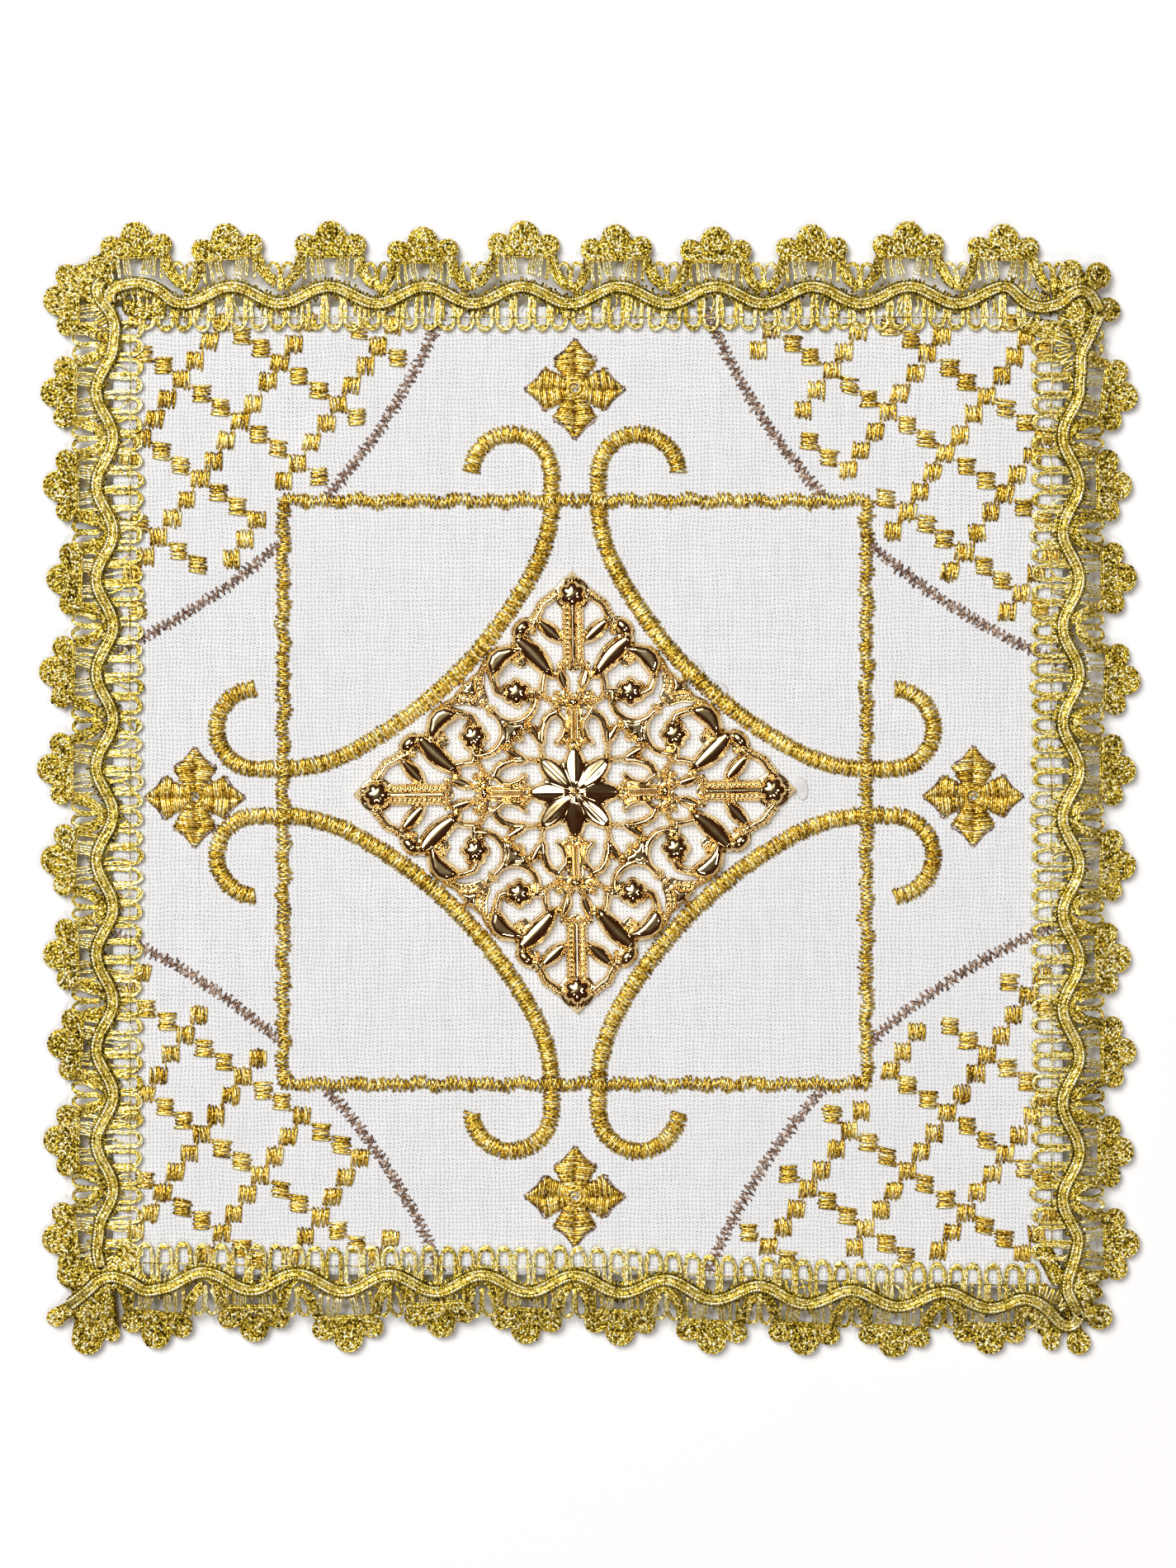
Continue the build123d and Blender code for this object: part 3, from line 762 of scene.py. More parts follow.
def lattice(corner):
    """Small patches of zigzag on a slanting lattice, joined corner to corner by single threads."""
    sign = np.array(corner_signs[corner])
    node = np.array(lattice_nodes[corner])
    margin = lattice_patch * 0.75
    arc_limit = bronze_circle_radius - bronze_width / 2 - margin
    frame_limit = frame_half_side + 0.95 + margin
    span = 10 * lattice_steps
    places = {}
    for i in range(-span, span + 1):
        for j in range(-span, span + 1):
            if i % lattice_steps and j % lattice_steps:
                continue
            place = node + (i * lattice_cell_right + j * lattice_cell_left) / lattice_steps
            beyond_arc = math.dist(place, sign * bronze_circle_centre)
            clear = np.abs(place).max() > frame_limit
            in_x = abs(place[0] + embroidery_centre[0]) < linen_high[0] - margin
            in_y = abs(place[1] + embroidery_centre[1]) < linen_high[1] - margin
            if beyond_arc < arc_limit and clear and in_x and in_y:
                places[i, j] = place + embroidery_centre
    starts, finishes, links = [], [], []
    half = lattice_patch / 2
    for (i, j), place in places.items():
        upright = i % lattice_steps == 0
        threads = 9
        middle = place + rng.normal(0, 0.12, 2)
        slant = rng.normal(0, 0.1)
        for k in range(threads):
            offset = (k - (threads - 1) / 2) * (2 * half / threads) + rng.normal(0, 0.05)
            reach = half * (0.98 + rng.normal(0, 0.09))
            swing = 0.1 * (1 if k % 2 else -1) + slant
            if upright:
                starts.append(middle + (offset - swing, reach))
                finishes.append(middle + (offset + swing, -reach + rng.normal(0, 0.12)))
            else:
                starts.append(middle + (-reach, offset - swing))
                finishes.append(middle + (reach + rng.normal(0, 0.12), offset + swing))
        for step in ((1, 0), (0, 1)):
            other = (i + step[0], j + step[1])
            same_line = (j % lattice_steps == 0) if step[0] else (i % lattice_steps == 0)
            if other in places and same_line:
                away = places[other] - place
                edge = np.sign(away) * half * 0.85
                links.append((place + edge, places[other] - edge))
    parts = [stitches(starts, finishes, 0.24, 0.19)]
    if links:
        ends = np.array(links)
        parts.append(stitches(ends[:, 0], ends[:, 1], 0.1, 0.13))
    piece("lattice_stitching_" + corner, parts, embroidery_gold, "lattice_" + corner)


for corner in corner_signs:
    lattice(corner)


def cross_half(reach):
    """Half the width of a cross arm at that distance from the cross's middle."""
    widths = [w for w, _ in cross_outline]
    reaches = [r for _, r in cross_outline]
    return np.interp(reach, reaches, widths)


def cross(side):
    """A cross of four spade-ended arms, each in satin stitch from its spine to its edges."""
    centre = np.array(cross_places[side]) + embroidery_centre
    starts, finishes, rises = [], [], []
    outline = []
    for quarter in range(4):
        c, s = math.cos(quarter * math.pi / 2), math.sin(quarter * math.pi / 2)
        turn = np.array([[c, -s], [s, c]])
        reach = 1.0
        while reach < cross_outline[-1][1] - 0.35:
            half = float(cross_half(reach)) * (1 + rng.normal(0, 0.05))
            slope = 0.35 * half
            for way in (-1, 1):
                inner = (rng.normal(0.12, 0.12) * -way, reach + rng.normal(0, 0.05))
                outer = (way * half, reach - slope * 0.35 + rng.normal(0, 0.06))
                starts.append(centre + turn @ inner)
                finishes.append(centre + turn @ outer)
                rises.append(0.36 * (0.8 + 0.3 * rng.random()))
            reach += 0.34
        edge = [(w, r) for w, r in cross_outline] + [(-w, r) for w, r in cross_outline[-2::-1]]
        outline += [centre + turn @ np.array(p) for p in edge]
    whorl = np.linspace(0, 5 * math.pi, 40)
    spiral = centre + np.stack([np.cos(whorl), np.sin(whorl)], axis=1) * (0.25 + whorl[:, None] * 0.105)
    spiral = lifted_to(spiral, face_top + 0.62 - 0.012 * whorl)
    rim, along, _ = even(outline, 0.75, closed=True)
    half_stitch = along * 0.42
    parts = [stitches(starts, finishes, rises, 0.2), tubes(spiral[None], 0.19, sides=6)]
    piece("cross_stitching_" + side, parts, embroidery_gold, "cross_" + side)
    edging = [stitches(rim - half_stitch, rim + half_stitch, 0.12, 0.12)]
    piece("cross_outline_" + side, edging, bronze_thread)


for side in cross_places:
    cross(side)


# ---------------------------------------------------------------- lace edging

def fan_edge(s, t):
    """Signed distance to the solid crochet of one fan that stands at s = 0."""
    middle = np.hypot(s, t - 8.3) - 2.4
    lobe = np.hypot(np.abs(s) - 3.95, t - 6.85) - 1.8
    half = np.interp(t, [4.4, 5.4, 7.8], [4.9, 4.9, 3.3])
    body = np.maximum(np.maximum(np.abs(s) - half, 4.7 - t), t - 7.9)
    return np.minimum(np.minimum(middle, lobe), body)


def lobes_edge(x, y, lobes, necks):
    """Signed distance to a corner's crochet: round lobes and the thick necks that carry them."""
    edges = [np.hypot(x - cx, y - cy) - radius for cx, cy, radius in lobes]
    edges += [segment_gap(x, y, start, end) - half for start, end, half in necks]
    return np.min(edges, axis=0)


def curve(points, spacing=0.6):
    """A smooth way through a few points, with points that far apart."""
    points = np.asarray(points, float)
    for _ in range(3):
        near = points[:-1] * 0.75 + points[1:] * 0.25
        far = points[:-1] * 0.25 + points[1:] * 0.75
        middle = np.stack([near, far], axis=1).reshape(-1, 2)
        points = np.concatenate([points[:1], middle, points[-1:]])
    return even(points, spacing)


def outline_threads(edge, centre, insets=(0.16, 0.55)):
    """Threads laid along the rim of a crocheted form, found by walking out from its middle."""
    angles = np.radians(np.arange(0, 360, 2.0))
    parts = []
    for k, inset in enumerate(insets):
        path = []
        for angle in angles:
            direction = np.array([math.cos(angle), math.sin(angle)])
            probe = np.asarray(centre) + np.linspace(0.2, 9.0, 260)[:, None] * direction
            inside = np.flatnonzero(edge(probe[:, 0], probe[:, 1]) < -inset)
            if len(inside):
                path.append(probe[inside[-1]])
        rim = even(path, 0.4, closed=True)[0]
        steps = np.arange(len(rim))
        height = lace_low + 0.2 + 0.14 * k + 0.06 * np.sin(steps * 2.1)
        tone = 0.45 + 0.45 * np.sin(steps * 2.6 + k)
        parts.append(tubes(lifted_to(rim, height)[None], 0.17, sides=6, tone=tone[None]))
    return parts


def crochet(edge, corner_low, corner_high, heart, seed):
    """Solid crochet: a lumpy pad under small looped stitches that fan out from its heart."""

    def pad_height(x, y, away):
        shoulder = np.clip(-away / 0.5, 0, 1)
        return lace_low + 0.1 + 0.24 * np.sqrt(shoulder) + 0.05 * ripple(x, y, 1.6, seed) * shoulder

    parts = [relief_shell(edge, pad_height, corner_low, corner_high, 0.36, lace_low, 0.1)]
    spacing = 0.58
    xs = np.arange(corner_low[0], corner_high[0], spacing)
    ys = np.arange(corner_low[1], corner_high[1], spacing * 0.87)
    gx, gy = np.meshgrid(xs, ys, indexing="ij")
    gx[:, 1::2] += spacing / 2
    spots = np.stack([gx.ravel(), gy.ravel()], axis=1) + rng.normal(0, 0.1, (gx.size, 2))
    spots = spots[edge(spots[:, 0], spots[:, 1]) < -0.38]
    heading = np.arctan2(spots[:, 1] - heart[1], spots[:, 0] - heart[0]) + rng.normal(0, 0.65, len(spots))
    reach = rng.uniform(0.3, 0.52, len(spots))
    ahead = np.stack([np.cos(heading), np.sin(heading)], axis=1)
    bend = leftward(ahead) * rng.normal(0, 0.2, (len(spots), 1))
    step = ahead * reach[:, None]
    crown = step * 0.35
    flat = np.stack([spots - step, spots - crown + bend, spots + crown + bend, spots + step], axis=1)
    level = lace_top - 0.2 + rng.normal(0, 0.05, len(spots))
    z = level[:, None] + np.array([-0.18, 0.02, 0.02, -0.18])
    # Each loop is darker at its ends, where it dives into the pad, and lighter at its crown: painted shade
    # and painted highlight
    tone = rng.uniform(-0.2, 1.3, len(spots))[:, None] + np.array([-0.5, 0.2, 0.2, -0.5])
    parts.append(tubes(lifted_to(flat, z), 0.19, tone=tone))
    return parts


def skein(way, width, strands, radius, tones, lift=0.0, sway=0.07):
    """Threads side by side along a smooth way."""
    path, along, distance = curve(way)
    across = leftward(along)
    paths, shades = [], []
    for k in range(strands):
        offset = (k / max(1, strands - 1) - 0.5) * (width - 2 * radius)
        phase = rng.uniform(0, 2 * math.pi)
        lateral = offset + sway * np.sin(distance * 2.4 + phase)
        crown = 0.14 * (1 - (2 * offset / max(width, 0.1)) ** 2)
        height = lace_low + 0.2 + crown + lift + 0.05 * np.sin(distance * 3.3 + phase)
        paths.append(lifted_to(path + across * lateral[:, None], height))
        shades.append(rng.uniform(*tones) + 0.3 * np.sin(distance * 5.5 + phase))
    return tubes(paths, radius, tone=shades)


def bundle(way, width, count):
    """A thick bundle of crochet: a skein with short stitches laid over it."""
    parts = [skein(way, width, 5, 0.2, (0.0, 0.7))]
    path, along, _ = curve(way, 0.3)
    chosen = rng.integers(0, len(path), count)
    ahead = along[chosen]
    middle = path[chosen] + leftward(ahead) * rng.uniform(-0.4, 0.4, (count, 1)) * width
    heading = np.arctan2(ahead[:, 1], ahead[:, 0])
    heading = heading + rng.choice([-0.7, 0.7], count) + rng.normal(0, 0.3, count)
    tip = np.stack([np.cos(heading), np.sin(heading)], axis=1) * 0.4
    flat = np.stack([middle - tip, middle, middle + tip], axis=1)
    z = np.broadcast_to(lace_top - 0.12 + np.array([-0.14, 0.0, -0.14]), (count, 3))
    # Each stitch is darker at its ends and lighter at its raised middle: painted shade and painted highlight
    tone = rng.uniform(0, 1.1, count)[:, None] + np.array([-0.4, 0.1, -0.4])
    parts.append(tubes(lifted_to(flat, z), 0.16, tone=tone))
    return parts


# Range of tones for the palest threads of the lace
bright = (0.6, 1.25)


def fan():
    """Crochet and rim of one fan, standing at s = 0."""
    parts = crochet(fan_edge, (-6.0, 4.5), (6.0, 10.9), (0, 2.5), int(rng.integers(1000)))
    return parts + outline_threads(fan_edge, (0, 6.3))


def fan_legs():
    """What joins one fan to the gimp: pale bars in its middle and bundles down to the troughs beside it."""
    parts = [
        skein([(-1.25, 1.9), (-1.55, 3.3), (-1.75, 5.1)], 1.25, 3, 0.18, bright),
        skein([(1.2, 1.9), (1.6, 3.3), (1.9, 5.1)], 1.5, 4, 0.17, bright),
    ]
    for way in (-1, 1):
        route = [(7.3, 0.1), (6.2, 1.0), (5.45, 2.1), (4.95, 3.4), (4.5, 5.1)]
        parts += bundle([(way * x, y) for x, y in route], 1.75, 22)
        parts.append(skein([(way * 2.7, 1.6), (way * 2.85, 3.2), (way * 2.95, 5.1)], 0.6, 2, 0.16, bright))
        parts.append(skein([(way * 3.9, 1.2), (way * 4.1, 3.0), (way * 4.0, 5.0)], 0.6, 2, 0.16, (0.4, 1.1)))
    return parts


def trough_loops():
    """The two picot loops that stand in the trough between fans."""
    route = [(0.15, 0.8), (0.1, 2.6), (0.2, 4.4), (0.6, 5.1), (1.15, 5.4), (1.75, 5.1), (2.0, 4.3),
             (1.8, 3.1), (1.1, 1.4)]
    loops = []
    for way in (-1, 1):
        loop = [(way * x, y + rng.normal(0, 0.06)) for x, y in route]
        loops.append(skein(loop, 0.7, 3, 0.17, (0.2, 1.05), sway=0.06))
    return loops


def wave(s, first, pitch):
    """How far out the gimp's wave lies from its middle line there."""
    return wave_height * np.cos(2 * math.pi * (s - first) / pitch)


def sagged(points):
    """Points of the south side in its flat frame, with the sag of its east end. The fans' tips sag least."""
    s, t = points[:, 0], points[:, 1] - gimp_half_width["south"]
    sag = np.interp(-s, *south_sag)
    moved = points.copy()
    moved[:, 1] += sag * (1 - np.clip(t, 0, None) / 18)
    return moved


def drooped(points):
    """Points in the pall's frame, with what lies beyond the gimp's middle bent down to the table."""
    beyond_x = np.abs(points[:, 0]) - gimp_half_width["east"]
    beyond_y = np.abs(points[:, 1]) - gimp_half_width["north"]
    u = np.clip((np.maximum(beyond_x, beyond_y) - droop_begins) / droop_over, 0, 1)
    moved = points.copy()
    moved[:, 2] -= lace_droop * u * u * (3 - 2 * u)
    return moved


def bent(bend, parts):
    """Mesh parts with their points moved by that function."""
    return [(bend(part[0]), *part[1:]) for part in parts]


def header(side, half_length, first, pitch):
    """The inner edge: long loops from the gimp to their picot tips, and loose threads among them."""
    sewn, tip = sewing_line_depth[side], picot_depth[side]
    reach = half_length - 3.5
    count = int(2 * reach / picot_pitch)
    middles = (np.arange(count) - (count - 1) / 2) * picot_pitch + rng.normal(0, 0.13, count)
    parts = []
    for m in middles:
        left, right = (float(wave(m + d, first, pitch)) - 0.6 for d in (-1.2, 1.2))
        deep = tip + rng.normal(0, 0.12)
        down = [(m - 1.25, left), (m - 1.05, -sewn + 0.6), (m - 1.2, -sewn - 0.5), (m - 0.95, -deep + 0.55)]
        up = [(m + 0.95, -deep + 0.55), (m + 1.2, -sewn - 0.5), (m + 1.05, -sewn + 0.6), (m + 1.25, right)]
        parts.append(skein(down + [(m, -deep - 0.15)] + up, 0.66, 3, 0.145, (0.4, 1.25)))
        cap = [(m - 0.85, -deep + 0.75), (m, -deep + 0.3), (m + 0.85, -deep + 0.75)]
        parts.append(skein(cap, 0.5, 2, 0.15, (0.1, 0.95), lift=0.05))
    for place in rng.uniform(-reach, reach, int(reach * 1.1)):
        top = float(wave(place, first, pitch)) - 0.7
        middle = (place + rng.normal(0, 0.5), (top - sewn) / 2)
        foot = (place + rng.normal(0, 0.7), -sewn + rng.normal(0, 0.4))
        parts.append(skein([(place, top), middle, foot], 0.32, 2, 0.12, (0.2, 1.1)))
    return parts


# Crochet that fills each corner between the last fans: lobes (x, y, radius) and the necks that carry them
corner_crochet = {
    "nw": (
        [(-81.7, 80.6, 2.3), (-85.0, 78.1, 1.9), (-78.6, 84.6, 0.9), (-79.6, 83.5, 0.8)],
        [((-76.2, 85.6), (-77.6, 81.6), 1.7), ((-80.4, 79.9), (-77.0, 77.0), 1.5),
         ((-79.0, 82.6), (-75.0, 79.2), 1.4), ((-73.0, 77.0), (-68.5, 76.0), 1.3)],
    ),
    "ne": (
        [(77.1, 83.0, 1.75), (81.4, 82.2, 2.1), (83.1, 76.8, 1.95)],
        [((76.4, 82.2), (75.0, 79.6), 1.3), ((81.0, 81.6), (79.2, 78.6), 1.2),
         ((82.6, 76.9), (80.4, 76.0), 1.5), ((77.6, 77.2), (78.4, 73.0), 1.7),
         ((70.0, 74.2), (74.6, 73.2), 1.5), ((76.5, 81.0), (80.0, 81.3), 0.9)],
    ),
    "se": (
        [(74.0, -88.0, 1.45), (78.4, -88.2, 1.9), (81.7, -84.0, 2.1), (81.3, -80.2, 0.9)],
        [((74.4, -87.4), (75.6, -85.4), 1.0), ((78.2, -87.4), (77.2, -84.4), 1.2),
         ((81.0, -83.8), (78.0, -82.4), 1.5), ((79.6, -80.2), (77.6, -79.6), 1.6),
         ((80.6, -77.8), (78.4, -77.2), 1.3), ((75.6, -82.6), (76.4, -79.0), 0.9),
         ((71.0, -83.2), (72.8, -85.8), 1.3), ((72.8, -73.6), (74.8, -77.6), 1.4)],
    ),
    "sw": (
        [(-80.0, -87.6, 2.5), (-85.0, -84.2, 1.5), (-76.2, -86.6, 1.5), (-83.4, -77.4, 1.5)],
        [((-84.4, -83.7), (-80.0, -81.4), 1.3), ((-80.4, -86.6), (-79.4, -82.6), 2.0),
         ((-76.6, -86.0), (-76.8, -81.6), 1.6), ((-82.8, -77.6), (-79.0, -77.6), 1.9),
         ((-79.2, -75.4), (-74.0, -76.0), 1.7), ((-81.2, -80.2), (-76.0, -78.6), 1.3),
         ((-73.6, -73.0), (-72.6, -77.0), 1.6)],
    ),
}


def corner_patch(corner):
    """The bunched crochet in one corner, in the pall's own frame."""
    lobes, necks = corner_crochet[corner]

    def edge(x, y):
        return lobes_edge(x, y, lobes, necks)

    spots = np.array([(x, y) for x, y, _ in lobes] + [end for neck in necks for end in neck[:2]])
    lower, upper = spots.min(axis=0) - 3, spots.max(axis=0) + 3
    sign = np.array(corner_signs[corner])
    parts = crochet(edge, lower, upper, sign * np.array([72.0, 74.0]), 50 + len(lobes))
    for lobe in lobes:
        insets = (0.12, 0.5) if lobe[2] > 1 else (0.15,)
        parts += outline_threads(lambda px, py: lobes_edge(px, py, [lobe], []), lobe[:2], insets)
    for start, end, half in necks:
        middle = ((start[0] + end[0]) / 2, (start[1] + end[1]) / 2)
        parts += bundle([start, middle, end], half * 1.5, int(9 * half * math.dist(start, end) / 3))
    return parts


lace_corners = {"north": "nw", "east": "ne", "south": "se", "west": "sw"}


def lace(side):
    """One side of the crocheted edging, in the flat frame of that side and then turned into place."""
    turn, first, pitch, count = lace_sides[side]
    half_length = gimp_half_length[side]
    parts = []
    for i in range(count):
        along = first + i * pitch + rng.normal(0, 0.15)
        shift = rng.normal(fan_reach_beyond[side], 0.5)
        lean = rng.normal(0, 2.5)
        for part in fan() + fan_legs():
            parts.append(turned(part, lean, (along, shift, 0)))
    for i in range(-1, count):
        trough = first + (i + 0.5) * pitch
        if abs(trough) < half_length - 2:
            for part in trough_loops():
                parts.append(turned(part, 0, (trough, 0, 0)))
    parts += header(side, half_length, first, pitch)
    stations = np.arange(-half_length + 1, half_length - 1, 0.5)
    rise = wave(stations, first, pitch)
    slope = np.gradient(rise, stations)
    normal = np.stack([-slope, np.ones_like(slope)], axis=1)
    normal /= np.linalg.norm(normal, axis=1, keepdims=True)
    spine = np.stack([stations, rise], axis=1)
    reach = 1.5 + rng.normal(0, 0.14, (len(stations), 2))
    slant = rng.normal(0, 0.2, len(stations))[:, None] * np.array([1.0, 0.0])
    starts, finishes = spine + normal * reach[:, :1] + slant, spine - normal * reach[:, 1:] - slant
    parts.append(stitches(starts, finishes, 0.2, 0.21, base=lace_low + 0.15))
    parts = [turned(part, 0, (0, gimp_half_width[side], 0)) for part in parts]
    if side == "south":
        parts = bent(sagged, parts)
    parts = [turned(part, turn) for part in parts] + corner_patch(lace_corners[side])
    piece("crochet_lace_" + side, bent(drooped, parts), lace_gold, "lace_" + side)


for side in lace_sides:
    lace(side)


# Where each gimp runs beyond its waves: cut ends at the north-west, one round turn at the north-east,
# a hairpin at the south-east and a loose diagonal end at the south-west
gimp_starts = {
    "north": [(-76.0, 77.6), (-76.4, 78.9), (-75.4, 80.0), (-73.7, 80.6), (-71.6, 80.9), (-69.4, 80.3),
              (-67.5, 79.2)],
    "east": [(81.5, 75.8), (80.3, 73.0), (78.4, 69.5), (78.5, 66.2)],
    "south": [(78.2, -84.0), (77.9, -85.1), (76.8, -85.7), (75.5, -85.2), (74.3, -83.8), (72.9, -82.3),
              (71.3, -81.3), (69.6, -80.9)],
    "west": [(-77.6, -75.8), (-78.2, -73.2), (-77.8, -70.4)],
}
gimp_finishes = {
    "north": [(69.5, 77.6), (72.2, 76.7), (75.4, 77.5), (76.9, 79.2), (78.7, 79.9), (80.5, 78.7),
              (81.5, 76.4)],
    "east": [(78.2, -71.3), (77.5, -74.5), (76.4, -77.7), (76.2, -79.8), (77.4, -81.9), (78.2, -83.6)],
    "south": [(-70.5, -79.8), (-73.2, -78.0), (-75.8, -77.2), (-77.9, -77.9), (-79.8, -79.8), (-82.6, -82.0)],
    "west": [(-75.2, 74.0), (-76.0, 76.2), (-77.8, 78.3), (-78.4, 79.8), (-77.4, 81.2)],
}
gimp_stretch = {"north": (-66.5, 67.5), "east": (-65.2, 69.5), "south": (-68.5, 68.5), "west": (-68.5, 71.5)}


def gimp(side):
    """Gimp braid: a padded satin band with a beaded cord along each side of its middle threads, with painted
    shade in dashes along the cords, on the band's lower outer threads and on its padding.
    """
    turn, first, pitch, _ = lace_sides[side]
    cord_offset, bead_pitch = 0.62, 0.5
    stations = np.arange(*gimp_stretch[side], 0.4)
    flat = np.stack([stations, wave(stations, first, pitch) + gimp_half_width[side]], axis=1)
    if side == "south":
        flat = sagged(flat)
    c, s = math.cos(math.radians(turn)), math.sin(math.radians(turn))
    middle = flat @ np.array([[c, s], [-s, c]])
    path = even(np.concatenate([gimp_starts[side], middle, gimp_finishes[side]]), 0.35)[0]
    for _ in range(8):
        path[1:-1] = (path[:-2] + 2 * path[1:-1] + path[2:]) / 4
    points, along, distance = even(path, 0.125)
    z = (lace_top + gimp_top) / 2 - 0.05
    beads = 2 * math.pi * distance / bead_pitch
    strands = []
    for way in (-1, 1):
        lateral = way * (cord_offset + 0.03 * np.sin(beads))
        strands.append(lifted_to(points + leftward(along) * lateral[:, None], z + 0.05 * np.sin(beads + 1)))
    # Each cord is darkened in a dash at every bead: painted shade between its twists
    painted_shade_dashes = 1.1 - 1.15 * np.clip(np.sin(beads) - 0.35, 0, None) + 0.35 * np.sin(distance * 1.7)
    cords = tubes(strands, 0.25, sides=6, tone=[painted_shade_dashes, np.roll(painted_shade_dashes, 2)])
    coarse, along, distance = even(path, 0.4)
    threads = []
    for k, offset in enumerate((-0.98, -0.24, 0.0, 0.24, 0.98)):
        sway = offset + 0.03 * np.sin(distance * 2.3 + k * 2)
        height = z - 0.1 - 0.22 * (abs(offset) > 0.5) + 0.05 * np.sin(distance * 3.1 + k)
        threads.append(lifted_to(coarse + leftward(along) * sway[:, None], height))
    # The band's outer threads, which lie lower, are darker: painted shade
    band = tubes(threads, 0.16, tone=[-0.1, 0.5, 0.95, 0.5, -0.1])
    # The padding under the band has a low tone: painted shade
    padding = lifted_to(coarse, np.full(len(coarse), lace_top + 0.12))
    under = tubes(padding[None], 1.02, sides=8, flat=0.22, tone=-0.2)
    parts = bent(drooped, (cords, band, under))
    piece("gimp_cord_" + side, parts, gimp_gold, "gimp_braid_" + side)


for side in lace_sides:
    gimp(side)


def sewing():
    """The thin running stitches that hold the lace on the linen."""
    parts = []
    gap = 0.25
    for side, (turn, *_) in lace_sides.items():
        line = gimp_half_width[side] - sewing_line_depth[side]
        reach = gimp_half_length[side] - sewing_line_depth[side] - 1
        starts, finishes = [], []
        place = -reach
        while place < reach - 3:
            length = rng.uniform(2.2, 3.2)
            wander = rng.normal(0, 0.07, 2)
            starts.append((place, line + wander[0]))
            finishes.append((place + length, line + wander[1]))
            place += length + gap
        stitched = [stitches(starts, finishes, 0.1, 0.11, base=lace_low + 0.42)]
        if side == "south":
            stitched = bent(sagged, stitched)
        parts += [turned(part, turn) for part in stitched]
    piece("lace_running_stitches", parts, lace_gold, "lace_sewing_thread")


sewing()


# ---------------------------------------------------------------- medallion

def round_top(q):
    """Height of a half circle at q from its middle, where its edge is at 1."""
    return np.sqrt(np.clip(1 - q * q, 0, 1))


